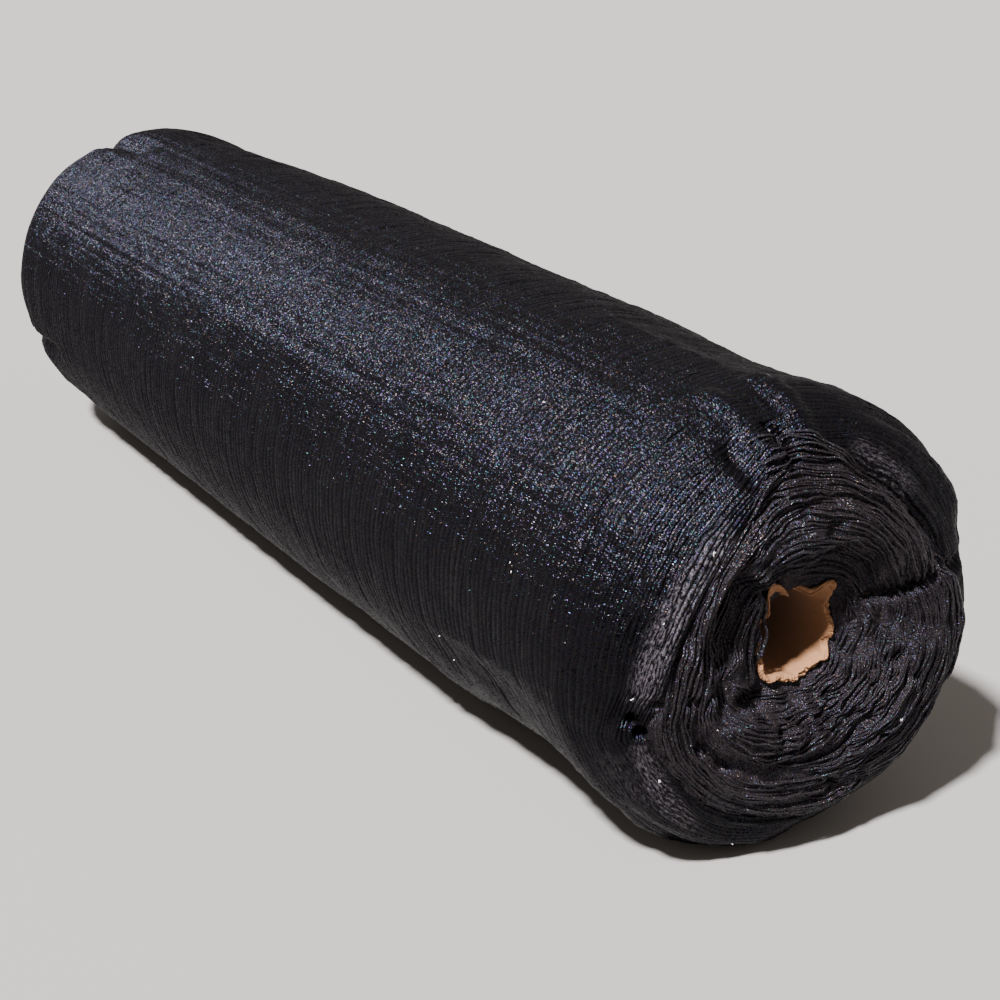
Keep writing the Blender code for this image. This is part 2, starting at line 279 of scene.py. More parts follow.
# Flecks of lint caught in the near half of the net. The first of them lie at the places given, as
# an angle in degrees and a reach in millimetres, and are all of one size.
LINT = 20
LINT_PLACES = ((136, 104), (161, 109), (176, 91), (214, 119), (185, 119), (347, 124))
LINT_SIZE = 0.00045
LINT_COLOUR = "cfc9c2"

# The camera stands off the near end, aimed a little below and to the right of the roll's middle
CAMERA_AZIMUTH = radians(63.945)
CAMERA_ELEVATION = radians(17.085)
CAMERA_DISTANCE = 1.7053
CAMERA_YAW = radians(3.1578)
CAMERA_PITCH = radians(-2.8364)
FOCAL_PIXELS = 2112.3
IMAGE_PIXELS = 1000
SENSOR_WIDTH = 36.0
CAMERA_CENTRE = Vector((MIDDLE, 0, AXIS_HEIGHT))


# ---------------------------------------------------------------- small helpers

def linear(code):
    """The linear colour, with its alpha, of an sRGB hex code such as "8a8f96"."""
    values = [int(code[i:i + 2], 16) / 255 for i in (0, 2, 4)]
    return tuple(v / 12.92 if v <= 0.04045 else ((v + 0.055) / 1.055) ** 2.4 for v in values) + (1.0,)


def add_node(tree, kind, inputs=None, **settings):
    """Adds a node with its settings. An input is given a value, or another node's socket."""
    made = tree.nodes.new(kind)
    for name, value in settings.items():
        setattr(made, name, value)
    for key, value in (inputs or {}).items():
        if isinstance(value, bpy.types.NodeSocket):
            tree.links.new(value, made.inputs[key])
        else:
            made.inputs[key].default_value = value
    return made


def smooth_noise(across, along, seed, cells=64):
    """Smooth noise between -1 and 1 that changes over whole numbers and repeats after `cells`."""
    table = np.random.default_rng(seed).uniform(-1, 1, (cells, cells))
    across, along = np.broadcast_arrays(np.asarray(across, float), np.asarray(along, float))
    row, column = np.floor(across).astype(int), np.floor(along).astype(int)
    u, v = across - row, along - column
    u, v = u * u * (3 - 2 * u), v * v * (3 - 2 * v)
    row, column, row_2, column_2 = row % cells, column % cells, (row + 1) % cells, (column + 1) % cells
    first = table[row, column] * (1 - v) + table[row, column_2] * v
    second = table[row_2, column] * (1 - v) + table[row_2, column_2] * v
    return first * (1 - u) + second * u


def through_three(first, second, third, share):
    """The curve through three values at shares 0, 0.5 and 1."""
    return (first * (1 - share) * (1 - 2 * share) + 4 * second * share * (1 - share)
            + third * share * (2 * share - 1))


def fold_places(fold, share):
    """Angles in radians and reaches in metres along a fold."""
    angle = np.radians(through_three(fold.angle_1, fold.angle_2, fold.angle_3, share))
    return angle, through_three(fold.reach_1, fold.reach_2, fold.reach_3, share) * MILLIMETRE


def smooth_through(values, share):
    """The Catmull-Rom curve through evenly shared values, at shares from 0 to 1."""
    values = np.asarray(values, float)
    padded = np.concatenate([[2 * values[0] - values[1]], values, [2 * values[-1] - values[-2]]])
    place = share * (len(values) - 1)
    first = np.minimum(place.astype(int), len(values) - 2)
    t = place - first
    a, b, c, d = (padded[first + i] for i in range(4))
    return 0.5 * (2 * b + (c - a) * t + (2 * a - 5 * b + 4 * c - d) * t ** 2
                  + (3 * b - a - 3 * c + d) * t ** 3)


# ---------------------------------------------------------------- the wound form

def profile(end, reach):
    """Radius and distance back from the end's crest, for a reach measured in metres."""
    reach = np.asarray(reach, float)
    radius = np.minimum(reach, BODY_RADIUS)
    inward = (end.crest_radius - radius) / (end.crest_radius - NET_BORE_RADIUS)
    outward = (radius - end.crest_radius) / (BODY_RADIUS - end.crest_radius)
    dished = end.dish * np.square(np.maximum(inward, 0))
    rounded = end.shoulder * (1 - np.sqrt(1 - np.square(np.clip(outward, 0, 1))))
    return radius, dished + rounded + np.maximum(reach - BODY_RADIUS, 0)


def surface_point(end, angle, reach):
    """Places on the plain wound form, for an angle in radians and a reach in metres."""
    radius, back = profile(end, reach)
    along = MIDDLE + end.facing * (ROLL_LENGTH / 2 - back)
    return np.stack([along, radius * np.cos(angle), AXIS_HEIGHT + radius * np.sin(angle)], axis=-1)


def fold_relief(points, fold):
    """How far a fold lifts each of the points off the plain form."""
    angle, reach = fold_places(fold, np.linspace(0, 1, FOLD_STEPS))
    line = surface_point(fold.end, angle, reach)
    width = fold.half_width * MILLIMETRE
    relief = np.zeros(len(points))
    near = np.all((points > line.min(0) - width) & (points < line.max(0) + width), axis=1)
    chosen = points[near]
    if not len(chosen):
        return relief
    start, step = line[:-1], np.diff(line, axis=0)
    offset = chosen[:, None, :] - start
    along = np.clip(np.sum(offset * step, axis=2) / np.sum(step * step, axis=1), 0, 1)
    apart = np.linalg.norm(offset - along[..., None] * step, axis=2)
    nearest = np.argmin(apart, axis=1)
    rows = np.arange(len(chosen))
    placed = (nearest + along[rows, nearest]) / len(start)
    across = np.clip(apart[rows, nearest] / width, 0, 1)
    rise = np.clip(np.minimum(placed, 1 - placed) / FADE, 0, 1)
    relief[near] = fold.height * MILLIMETRE * (1 - across ** 2) ** 2 * np.sin(rise * pi / 2)
    return relief


def painted_sheen_share(points):
    """How far the net's colour is painted pale grey at each of the points, as a painted sheen, from 0 to
    1.
    """
    return np.clip(sum(fold_relief(points, fold) for fold in PAINTED_SHEEN_PATCHES), 0, 1)


def pit_relief(points, pit):
    """How far a pit sinks each of the points."""
    place = surface_point(pit.end, np.radians(pit.angle), pit.reach * MILLIMETRE)
    apart = np.linalg.norm(points - place, axis=1) / (pit.radius * MILLIMETRE)
    return -pit.depth * MILLIMETRE * (1 - np.clip(apart, 0, 1) ** 2) ** 2


def grid_normals(grid):
    """Outward normals of rows of points that run round the roll."""
    around = np.roll(grid, -1, axis=1) - np.roll(grid, 1, axis=1)
    normal = np.cross(np.gradient(grid, axis=0), around)
    return normal / np.maximum(np.linalg.norm(normal, axis=2, keepdims=True), 1e-12)


class WoundForm:
    """The folded outside of the wound net, as a lattice that strands are laid on.

    A run is the distance along the form's profile from the near bore rim to the far one.
    """

    COLUMNS = 540
    NEAR_STEP, BODY_STEP, FAR_STEP = 0.0016, 0.008, 0.003
    NEAR_SPAN, FAR_SPAN = 0.30, 0.32
    TABLE_STEPS = 6000

    def __init__(self):
        body = ROLL_LENGTH - NEAR.shoulder - FAR.shoulder
        self.reaches = np.linspace(NET_BORE_RADIUS, BODY_RADIUS + body / 2, self.TABLE_STEPS)
        self.runs = {}
        for end in (NEAR, FAR):
            radius, back = profile(end, self.reaches)
            lengths = np.hypot(np.diff(radius), np.diff(back))
            self.runs[end] = np.concatenate([[0], np.cumsum(lengths)])
        self.total = self.runs[NEAR][-1] + self.runs[FAR][-1]
        far_start = self.total - self.FAR_SPAN
        self.rows = np.concatenate([
            np.arange(0, self.NEAR_SPAN, self.NEAR_STEP),
            np.arange(self.NEAR_SPAN, far_start, self.BODY_STEP),
            np.linspace(far_start, self.total, round(self.FAR_SPAN / self.FAR_STEP)),
        ])
        angles = np.linspace(0, 2 * pi, self.COLUMNS, endpoint=False)
        plain = np.stack([self.plain_row(run, angles) for run in self.rows])
        points = plain.reshape(-1, 3)
        relief = np.zeros(len(points))
        for fold in (*FOLDS.values(), *FINE_FOLDS.values()):
            relief += fold_relief(points, fold)
        for pit in PITS:
            relief += pit_relief(points, pit)
        hold = np.clip(np.minimum(self.rows, self.total - self.rows) / CORE_WALL, 0, 1)
        relief = relief.reshape(plain.shape[:2]) * hold[:, None]
        self.points = plain + grid_normals(plain) * relief[..., None]
        self.normals = grid_normals(self.points)
        # How far each point takes the painted sheen, a pale grey painted into the net's colour
        self.painted_sheen = painted_sheen_share(points).reshape(plain.shape[:2] + (1,))

    def plain_row(self, run, angles):
        """One ring of the plain form."""
        if run <= self.runs[NEAR][-1]:
            reach = np.interp(run, self.runs[NEAR], self.reaches)
            return surface_point(NEAR, angles, np.full(len(angles), reach))
        reach = np.interp(self.total - run, self.runs[FAR], self.reaches)
        return surface_point(FAR, angles, np.full(len(angles), reach))

    def run_at(self, end, reach):
        """The run of a reach on one end."""
        run = np.interp(reach, self.reaches, self.runs[end])
        return run if end is NEAR else self.total - run

    def reader(self, angle, run):
        """A function that reads a table of the lattice at some places."""
        row = np.interp(run, self.rows, np.arange(len(self.rows)))
        column = np.asarray(angle) / (2 * pi) * self.COLUMNS
        row, column = np.broadcast_arrays(row, column)
        first = np.clip(row.astype(int), 0, len(self.rows) - 2)
        left = np.floor(column).astype(int)
        u, v = (row - first)[..., None], (column - left)[..., None]
        left, right = left % self.COLUMNS, (left + 1) % self.COLUMNS

        def read(table):
            near = table[first, left] * (1 - v) + table[first, right] * v
            far = table[first + 1, left] * (1 - v) + table[first + 1, right] * v
            return near * (1 - u) + far * u

        return read

    def place(self, angle, run, lift=0.0):
        """Points on the form, lifted off it along its normal, and never below the ground."""
        read = self.reader(angle, run)
        normal = read(self.normals)
        normal /= np.maximum(np.linalg.norm(normal, axis=-1, keepdims=True), 1e-12)
        points = read(self.points) + normal * np.asarray(lift)[..., None]
        points[..., 2] = np.maximum(points[..., 2], 0)
        return points

    def painted_sheen_at(self, angle, run):
        """How far the painted sheen covers some places."""
        return self.reader(angle, run)(self.painted_sheen)[..., 0]


def lip_run(form, end, angle):
    """The run of the lip that the outer wraps roll over, at each angle."""
    if end is FAR:
        return form.run_at(FAR, FAR_LIP_REACH + FAR_LIP_SWAY * np.sin(3 * angle + 1))
    share = np.linspace(0.04, 0.96, FOLD_STEPS)
    places = [fold_places(FOLDS[name], share) for name in NEAR_LIPS]
    angles = np.concatenate([np.sort(found % (2 * pi)) for found, _ in places])
    reaches = np.concatenate([reach[np.argsort(found % (2 * pi))] for found, reach in places])
    return form.run_at(NEAR, np.interp(angle % (2 * pi), angles, reaches, period=2 * pi))


# ---------------------------------------------------------------- meshes and Geometry Nodes

STRAND_GIRTH = 6.283 * MILLIMETRE       # the way round a strand in its UV map, for one 2 mm thick


def new_object(name, data):
    """An object at the origin, in the scene."""
    made = bpy.data.objects.new(name, data)
    bpy.context.scene.collection.objects.link(made)
    return made


def grid_mesh(name, grid, close_rows=False, attributes=None, runs=None):
    """A mesh of quads from rows of points that close on themselves round the roll. Its UV map
    holds the way round and each row's run, where runs are given."""
    rows, columns, _ = grid.shape
    here = np.arange(rows if close_rows else rows - 1)[:, None] * columns
    there = (np.arange(1, len(here) + 1) % rows)[:, None] * columns
    column = np.arange(columns)
    beside = (column + 1) % columns
    faces = np.stack([here + column, there + column, there + beside, here + beside], axis=-1)
    mesh = bpy.data.meshes.new(name)
    mesh.from_pydata(grid.reshape(-1, 3).tolist(), [], faces.reshape(-1, 4).tolist())
    for label, values in (attributes or {}).items():
        mesh.attributes.new(label, "FLOAT", "POINT").data.foreach_set("value", values.ravel())
    if runs is not None:
        around = np.linspace(0, 2 * pi, columns + 1) * BODY_RADIUS
        along = np.median(runs, axis=1)
        pairs = np.empty((rows - 1, columns, 4, 2))
        pairs[..., 0] = np.stack([around[:-1], around[:-1], around[1:], around[1:]], axis=-1)
        pairs[..., 1] = np.stack([along[:-1], along[1:], along[1:], along[:-1]], axis=-1)[:, None]
        mesh.uv_layers.new(name="net_uv").uv.foreach_set("vector", pairs.ravel())
    mesh.shade_smooth()
    mesh.validate()
    return mesh


def new_tree(name, sockets):
    """A Geometry Nodes tree with a geometry in and out and the named inputs."""
    tree = bpy.data.node_groups.new(name, "GeometryNodeTree")
    tree.interface.new_socket("Geometry", in_out="INPUT", socket_type="NodeSocketGeometry")
    for label, kind in sockets:
        tree.interface.new_socket(label, in_out="INPUT", socket_type=kind)
    tree.interface.new_socket("Geometry", in_out="OUTPUT", socket_type="NodeSocketGeometry")
    return tree, add_node(tree, "NodeGroupInput").outputs


def on_ground(tree, geometry):
    """Presses whatever is below the ground up to it."""
    place = add_node(tree, "GeometryNodeInputPosition")
    pressed = add_node(tree, "ShaderNodeVectorMath", {0: place.outputs[0], 1: (-10, -10, 0)},
                       operation="MAXIMUM")
    return add_node(tree, "GeometryNodeSetPosition",
                    {"Geometry": geometry, "Position": pressed.outputs[0]}).outputs[0]


def end_tree(tree, geometry, finish):
    """Closes a tree: instances are realized and take their material."""
    realized = add_node(tree, "GeometryNodeRealizeInstances", {"Geometry": geometry})
    finished = add_node(tree, "GeometryNodeSetMaterial",
                        {"Geometry": realized.outputs[0], "Material": finish})
    add_node(tree, "NodeGroupOutput", {"Geometry": finished.outputs[0]})
    return tree


def run_tree(source, tree, values, name):
    """The plain mesh object that a tree makes of a source object, which is then removed."""
    modifier = source.modifiers.new("Tree", "NODES")
    modifier.node_group = tree
    for item in tree.interface.items_tree:
        if item.in_out == "INPUT" and item.name in values:
            modifier[item.identifier] = values[item.name]
    source.update_tag()
    evaluated = source.evaluated_get(bpy.context.evaluated_depsgraph_get())
    mesh = bpy.data.meshes.new_from_object(evaluated)
    if not mesh.polygons:
        raise RuntimeError(f"{name}: its tree made no faces")
    mesh.name = name
    bpy.data.objects.remove(source, do_unlink=True)
    return new_object(name, mesh)


def unevenness(tree, given, detail):
    """A factor that strays from 1 by a tree's Unevenness, over swells that its Grain gives."""
    noise = add_node(tree, "ShaderNodeTexNoise", {"Scale": given["Grain"], "Detail": detail})
    spread = add_node(tree, "ShaderNodeMath", {0: noise.outputs[0], 1: 0.5}, operation="SUBTRACT")
    return add_node(tree, "ShaderNodeMath", {0: spread.outputs[0], 1: given["Unevenness"], 2: 1.0},
                    operation="MULTIPLY_ADD").outputs[0]


def wrap_tree():
    """Raises strands on a smooth wrap, by the height stored on each point."""
    tree, given = new_tree("Raised strands", (
        ("Strand height", "NodeSocketFloat"), ("Unevenness", "NodeSocketFloat"),
        ("Grain", "NodeSocketFloat"), ("Finish", "NodeSocketMaterial")))
    crest = add_node(tree, "GeometryNodeInputNamedAttribute", {"Name": "crest"}, data_type="FLOAT")
    height = add_node(tree, "ShaderNodeMath", {0: crest.outputs[0], 1: given["Strand height"]},
                      operation="MULTIPLY")
    lift = add_node(tree, "ShaderNodeMath", {0: height.outputs[0], 1: unevenness(tree, given, 2.0)},
                    operation="MULTIPLY")
    normal = add_node(tree, "GeometryNodeInputNormal")
    offset = add_node(tree, "ShaderNodeVectorMath", {0: normal.outputs[0], "Scale": lift.outputs[0]},
                      operation="SCALE")
    moved = add_node(tree, "GeometryNodeSetPosition",
                     {"Geometry": given["Geometry"], "Offset": offset.outputs[0]})
    return end_tree(tree, on_ground(tree, moved.outputs[0]), given["Finish"])


def strand_tree():
    """Sweeps a round strand along each curve, as thick as the curve's radius says. Its UV map
    runs along the strand and round it."""
    tree, given = new_tree("Swept strands", (
        ("Thickness", "NodeSocketFloat"), ("Sides", "NodeSocketInt"),
        ("Unevenness", "NodeSocketFloat"), ("Grain", "NodeSocketFloat"),
        ("Finish", "NodeSocketMaterial")))
    radius = add_node(tree, "GeometryNodeInputRadius")
    scale = add_node(tree, "ShaderNodeMath", {0: radius.outputs[0], 1: unevenness(tree, given, 1.0)},
                     operation="MULTIPLY")
    circle = add_node(tree, "GeometryNodeCurvePrimitiveCircle",
                      {"Resolution": given["Sides"], "Radius": given["Thickness"]})
    measured = []
    for curve, measure in ((given["Geometry"], "Length"), (circle.outputs[0], "Factor")):
        reading = add_node(tree, "GeometryNodeSplineParameter")
        kept = add_node(tree, "GeometryNodeCaptureAttribute")
        kept.capture_items.new("FLOAT", measure)
        tree.links.new(curve, kept.inputs[0])
        tree.links.new(reading.outputs[measure], kept.inputs[1])
        measured.append(kept)
    path, ring = measured
    swept = add_node(tree, "GeometryNodeCurveToMesh", {
        "Curve": path.outputs[0], "Profile Curve": ring.outputs[0],
        "Scale": scale.outputs[0], "Fill Caps": True})
    around = add_node(tree, "ShaderNodeMath", {0: ring.outputs[1], 1: STRAND_GIRTH},
                      operation="MULTIPLY")
    place = add_node(tree, "ShaderNodeCombineXYZ", {"X": path.outputs[1], "Y": around.outputs[0]})
    mapped = add_node(tree, "GeometryNodeStoreNamedAttribute",
                      {"Geometry": swept.outputs[0], "Name": "net_uv", "Value": place.outputs[0]},
                      data_type="FLOAT2", domain="CORNER")
    smooth = add_node(tree, "GeometryNodeSetShadeSmooth", {"Geometry": mapped.outputs[0]})
    return end_tree(tree, on_ground(tree, smooth.outputs[0]), given["Finish"])


def strand_curve(name, strands):
    """A curve object with one open spline for each strand, given as points and thicknesses."""
    data = bpy.data.curves.new(name, "CURVE")
    data.dimensions = "3D"
    for points, thickness in strands:
        spline = data.splines.new("POLY")
        spline.points.add(len(points) - 1)
        spline.points.foreach_set("co", np.c_[points, np.ones(len(points))].ravel())
        spline.points.foreach_set("radius", np.broadcast_to(thickness, len(points)).astype(float))
    return new_object(name, data)


# ---------------------------------------------------------------- materials

# How the knit takes the light. Lightness scales the net's colour, and shine is its reflection.
# Along and across are how far single stitches lean, and knobbly and frayed how much its knots and
# fibres stand up. Roughest is the roughness of the dullest stitch. The last two are how far all
# stitches lie over towards the near end, at the roll's far end and towards its near one.
Knit = namedtuple("Knit", "lightness shine along across knobbly frayed stitch_length stitch_width "
                          "roughest lean_far lean_near")
TIGHT = Knit(lightness=0.3, shine=0.128, along=0.27, across=0.57, knobbly=0.3, frayed=0.25,
             stitch_length=0.00042, stitch_width=0.0006, roughest=0.42, lean_far=0.42, lean_near=-0.16)
# The loose knit's lightness, far above the tight knit's, paints the ends' colour lighter: painted fill
# light on the shaded ends.
LOOSE = Knit(lightness=2.6, shine=0.28, along=0.6, across=1.4, knobbly=0.5, frayed=0.8,
             stitch_length=0.00075, stitch_width=0.00095, roughest=0.4, lean_far=0.0, lean_near=0.0)
LEAN_FAR_X, LEAN_NEAR_X = -0.55, 0.45        # where along X those two are reached
GLOSS_SPREAD = 0.18          # how much smoother than the dullest stitch the brightest is
SHEEN = ((0.0, "d4a4ff"), (0.18, "fff0ec"), (0.4, "a8c4ff"), (0.6, "f0e8ff"),
         (0.78, "98ece4"), (0.92, "ffc4a8"))        # shares of the stitches, with their tints
# The pale grey that is painted into the net's colour as a sheen
PAINTED_SHEEN_GREY = "383335"

# The card's colour is painted lighter and greyer as far from the origin as the first of these, as painted
# light in the shaded inside of the bore, and is left plain from the second on.
BORE_LIGHT_TO, BORE_PLAIN_FROM = 0.48, 0.535
BORE_LIGHT_SHARE = 0.4
BORE_LIGHT_GREY = "8a7a70"

# Scales of the patterns, in repeats to a metre along the strand or the roll, and across
FURROWS = (3, 110, 110)      # a third of a metre long, 9 mm apart
FIBRES = (220, 1300, 1)      # 4.5 mm long, 0.8 mm apart: coarser than real fibres, so that they show
KNOTS = (700, 1050, 1)       # 1.4 mm apart along a strand, 1 mm apart across it
PATCHES = 14.0               # 70 mm wide
CARD_FIBRES = (260, 900, 900)       # 4 mm long, 1.1 mm apart: coarser than real ones, as above


def blank_material(name):
    """A new material and its empty node tree."""
    material = bpy.data.materials.new(name)
    material.use_nodes = True
    material.node_tree.nodes.clear()
    return material, material.node_tree


def shaded(code, factor):
    """The linear colour of an sRGB hex code, made darker or lighter by a factor."""
    return tuple(min(part * factor, 1) for part in linear(code)[:3]) + (1,)


def net_relief(tree, at, object_at, knit):
    """The net's furrows, fibres and knots: its normal, and the patterns of the last two."""
    # The cloth was pulled tight along the roll, in long shallow furrows.
    furrows = add_node(tree, "ShaderNodeTexNoise", {
        "Vector": add_node(tree, "ShaderNodeMapping", {"Vector": object_at, "Scale": FURROWS}).outputs[0],
        "Scale": 1.0, "Detail": 3.0})
    pulled = add_node(tree, "ShaderNodeBump", {
        "Strength": 0.9, "Distance": 2.2 * MILLIMETRE, "Height": furrows.outputs[0]})
    fibres = add_node(tree, "ShaderNodeTexNoise", {
        "Vector": add_node(tree, "ShaderNodeMapping", {"Vector": at, "Scale": FIBRES}).outputs[0],
        "Scale": 1.0, "Detail": 2.0})
    fuzzy = add_node(tree, "ShaderNodeBump", {
        "Strength": knit.frayed, "Distance": 0.7 * MILLIMETRE, "Height": fibres.outputs[0],
        "Normal": pulled.outputs[0]})
    # The knots of the knit make rounded beads along a strand.
    knots = add_node(tree, "ShaderNodeTexVoronoi", {
        "Vector": add_node(tree, "ShaderNodeMapping", {"Vector": at, "Scale": KNOTS}).outputs[0],
        "Scale": 1.0, "Randomness": 0.7}, voronoi_dimensions="2D")
    beaded = add_node(tree, "ShaderNodeBump", {
        "Strength": knit.knobbly, "Distance": 0.6 * MILLIMETRE, "Height": knots.outputs["Distance"],
        "Normal": fuzzy.outputs[0]}, invert=True)
    return beaded.outputs[0], fibres.outputs[0], knots.outputs["Distance"]


def stitch_normal(tree, relief, object_at, draws, knit):
    """The normal of each stitch, which leans its own way, mostly across its strand, and so catches
    the light alone. The draws are two pairs of random values, for leans along and across it."""
    strand_way = add_node(tree, "ShaderNodeTangent", direction_type="UV_MAP", uv_map="net_uv")
    cross_way = add_node(tree, "ShaderNodeVectorMath", {0: relief, 1: strand_way.outputs[0]},
                         operation="CROSS_PRODUCT")
    # Wound tight, the knit lies over towards the near end, but a little back once it is close to it.
    place = add_node(tree, "ShaderNodeSeparateXYZ", {0: object_at})
    drawn = add_node(tree, "ShaderNodeMapRange", {
        "Value": place.outputs[0], "From Min": LEAN_FAR_X, "From Max": LEAN_NEAR_X,
        "To Min": knit.lean_far, "To Max": knit.lean_near})
    # The sum of two random values is seldom far from 1, so that most stitches lean little.
    normal = relief
    leans = ((strand_way, knit.along, 0.0), (cross_way, knit.across, drawn.outputs[0]))
    for (first, second), (way, most, shared) in zip(draws, leans):
        both = add_node(tree, "ShaderNodeMath", {0: first, 1: second}, operation="ADD")
        own = add_node(tree, "ShaderNodeMapRange", {
            "Value": both.outputs[0], "From Max": 2.0, "To Min": -1.5 * most, "To Max": 1.5 * most})
        amount = add_node(tree, "ShaderNodeMath", {0: own.outputs[0], 1: shared}, operation="ADD")
        lean = add_node(tree, "ShaderNodeVectorMath", {0: way.outputs[0], "Scale": amount.outputs[0]},
                        operation="SCALE")
        normal = add_node(tree, "ShaderNodeVectorMath", {0: normal, 1: lean.outputs[0]},
                          operation="ADD").outputs[0]
    return add_node(tree, "ShaderNodeVectorMath", {0: normal}, operation="NORMALIZE").outputs[0]


def net_shade(tree, colour, object_at, fibres, knots, knit):
    """The net's colour, in soft darker and lighter patches. Where the painted sheen lies, it is painted
    pale grey, and its knots and fibres show in light and dark there."""
    patches = add_node(tree, "ShaderNodeTexNoise", {"Vector": object_at, "Scale": PATCHES, "Detail": 3.0})
    plain = add_node(tree, "ShaderNodeMix", {
        "Factor": patches.outputs[0], 6: shaded(colour, 0.6 * knit.lightness),
        7: shaded(colour, 1.5 * knit.lightness)}, data_type="RGBA")
    # Painted sheen: the colour is painted pale grey there, streaked along the fibres and beaded at the
    # knots.
    painted_sheen = add_node(tree, "ShaderNodeAttribute", attribute_name="painted_sheen")
    beads = add_node(tree, "ShaderNodeMapRange", {
        "Value": knots, "From Max": 0.6, "To Min": 1.6, "To Max": 0.4})
    streaks = add_node(tree, "ShaderNodeMapRange", {
        "Value": fibres, "From Min": 0.44, "From Max": 0.62, "To Max": 2.0})
    streaked = add_node(tree, "ShaderNodeMath", {0: streaks.outputs[0], 1: beads.outputs[0]},
                        operation="MULTIPLY")
    painted_sheen_factor = add_node(tree, "ShaderNodeMath", {0: painted_sheen.outputs["Fac"], 1: streaked.outputs[0]},
                      operation="MULTIPLY")
    return add_node(tree, "ShaderNodeMix", {
        "Factor": painted_sheen_factor.outputs[0], 6: plain.outputs[2], 7: linear(PAINTED_SHEEN_GREY)},
        data_type="RGBA").outputs[2]


def thread_sheen(tree, draw):
    """The tint of a stitch's reflection, which runs from violet to teal from one to the next."""
    tint = add_node(tree, "ShaderNodeValToRGB", {0: draw})
    ramp = tint.color_ramp
    ramp.interpolation = "CONSTANT"
    while len(ramp.elements) < len(SHEEN):
        ramp.elements.new(0.5)
    for element, (position, code) in zip(ramp.elements, SHEEN):
        element.position = position
        element.color = linear(code)
    return tint.outputs[0]


def knitted_net(colour, knit):
    """Knitted polyethylene net: nearly black from a step away. Close up, each flat thread turns its
    own way, so that single stitches flash where they face the light. Pulled tight, the threads lie
    side by side; loose, they open, lean further and shine more, and their colour is painted lighter
    as painted fill light on the shaded ends."""
    material, tree = blank_material("Knitted polyethylene net")
    at = add_node(tree, "ShaderNodeUVMap", uv_map="net_uv").outputs[0]
    object_at = add_node(tree, "ShaderNodeTexCoord").outputs["Object"]
    scaled = add_node(tree, "ShaderNodeMapping", {
        "Vector": at, "Scale": (1 / knit.stitch_length, 1 / knit.stitch_width, 1)})
    stitches = add_node(tree, "ShaderNodeTexVoronoi", {
        "Vector": scaled.outputs[0], "Scale": 1.0, "Randomness": 0.9}, voronoi_dimensions="2D")
    other = add_node(tree, "ShaderNodeTexWhiteNoise", {"Vector": stitches.outputs["Color"]})
    first = add_node(tree, "ShaderNodeSeparateColor", {0: stitches.outputs["Color"]}).outputs
    second = add_node(tree, "ShaderNodeSeparateColor", {0: other.outputs["Color"]}).outputs
    draws = ((first[0], second[0]), (first[1], second[2]))
    relief, fibres, knots = net_relief(tree, at, object_at, knit)
    gloss = add_node(tree, "ShaderNodeMapRange", {
        "Value": other.outputs["Value"], "To Min": knit.roughest - GLOSS_SPREAD,
        "To Max": knit.roughest})
    shader = add_node(tree, "ShaderNodeBsdfPrincipled", {
        "Base Color": net_shade(tree, colour, object_at, fibres, knots, knit),
        "Roughness": gloss.outputs[0],
        "Normal": stitch_normal(tree, relief, object_at, draws, knit),
        "Specular IOR Level": knit.shine,
        "Specular Tint": thread_sheen(tree, second[1])})
    add_node(tree, "ShaderNodeOutputMaterial", {"Surface": shader.outputs[0]})
    return material


def kraft_card(colour):
    """Kraft card, wound from plies: brown, fibrous and quite matt, paler where it is torn, and painted
    lighter and greyer deep down its bore, as painted light in its shaded inside."""
    material, tree = blank_material("Kraft card")
    at = add_node(tree, "ShaderNodeTexCoord").outputs["Object"]
    fibres = add_node(tree, "ShaderNodeTexNoise", {
        "Vector": add_node(tree, "ShaderNodeMapping", {"Vector": at, "Scale": CARD_FIBRES}).outputs[0],
        "Scale": 1.0, "Detail": 4.0, "Roughness": 0.6})
    worn = add_node(tree, "ShaderNodeMix", {
        "Factor": fibres.outputs[0], 6: shaded(colour, 0.75), 7: shaded(colour, 1.2)}, data_type="RGBA")
    place = add_node(tree, "ShaderNodeSeparateXYZ", {0: at})
    off_middle = add_node(tree, "ShaderNodeMath", {0: place.outputs[0]}, operation="ABSOLUTE")
    # Deep down the bore the colour is painted lighter and greyer: painted light in the shaded inside.
    bore_light = add_node(tree, "ShaderNodeMapRange", {
        "Value": off_middle.outputs[0], "From Min": BORE_LIGHT_TO, "From Max": BORE_PLAIN_FROM,
        "To Min": BORE_LIGHT_SHARE, "To Max": 0.0})
    bore_lightened = add_node(tree, "ShaderNodeMix", {
        "Factor": bore_light.outputs[0], 6: worn.outputs[2], 7: linear(BORE_LIGHT_GREY)}, data_type="RGBA")
    torn = add_node(tree, "ShaderNodeAttribute", attribute_name="torn")
    paler = add_node(tree, "ShaderNodeMix", {
        "Factor": torn.outputs["Fac"], 6: bore_lightened.outputs[2], 7: shaded(colour, 1.08)}, data_type="RGBA")
    bump = add_node(tree, "ShaderNodeBump", {
        "Strength": 0.6, "Distance": 0.4 * MILLIMETRE, "Height": fibres.outputs[0]})
    shader = add_node(tree, "ShaderNodeBsdfPrincipled", {
        "Base Color": paler.outputs[2], "Roughness": 0.88, "Specular IOR Level": 0.25,
        "Normal": bump.outputs[0]})
    add_node(tree, "ShaderNodeOutputMaterial", {"Surface": shader.outputs[0]})
    return material


def plain_matt(name, colour, roughness):
    """One even matt colour, for a painted floor, or for fluff too small to show its fibres."""
    material = bpy.data.materials.new(name)
    material.use_nodes = True
    shader = material.node_tree.nodes["Principled BSDF"]
    shader.inputs["Base Color"].default_value = linear(colour)
    shader.inputs["Roughness"].default_value = roughness
    return material


# ---------------------------------------------------------------- settings

def hex_of(values):
    """The hex code of a colour property, whose values are sRGB shares."""
    return "".join(f"{round(v * 255):02x}" for v in values)


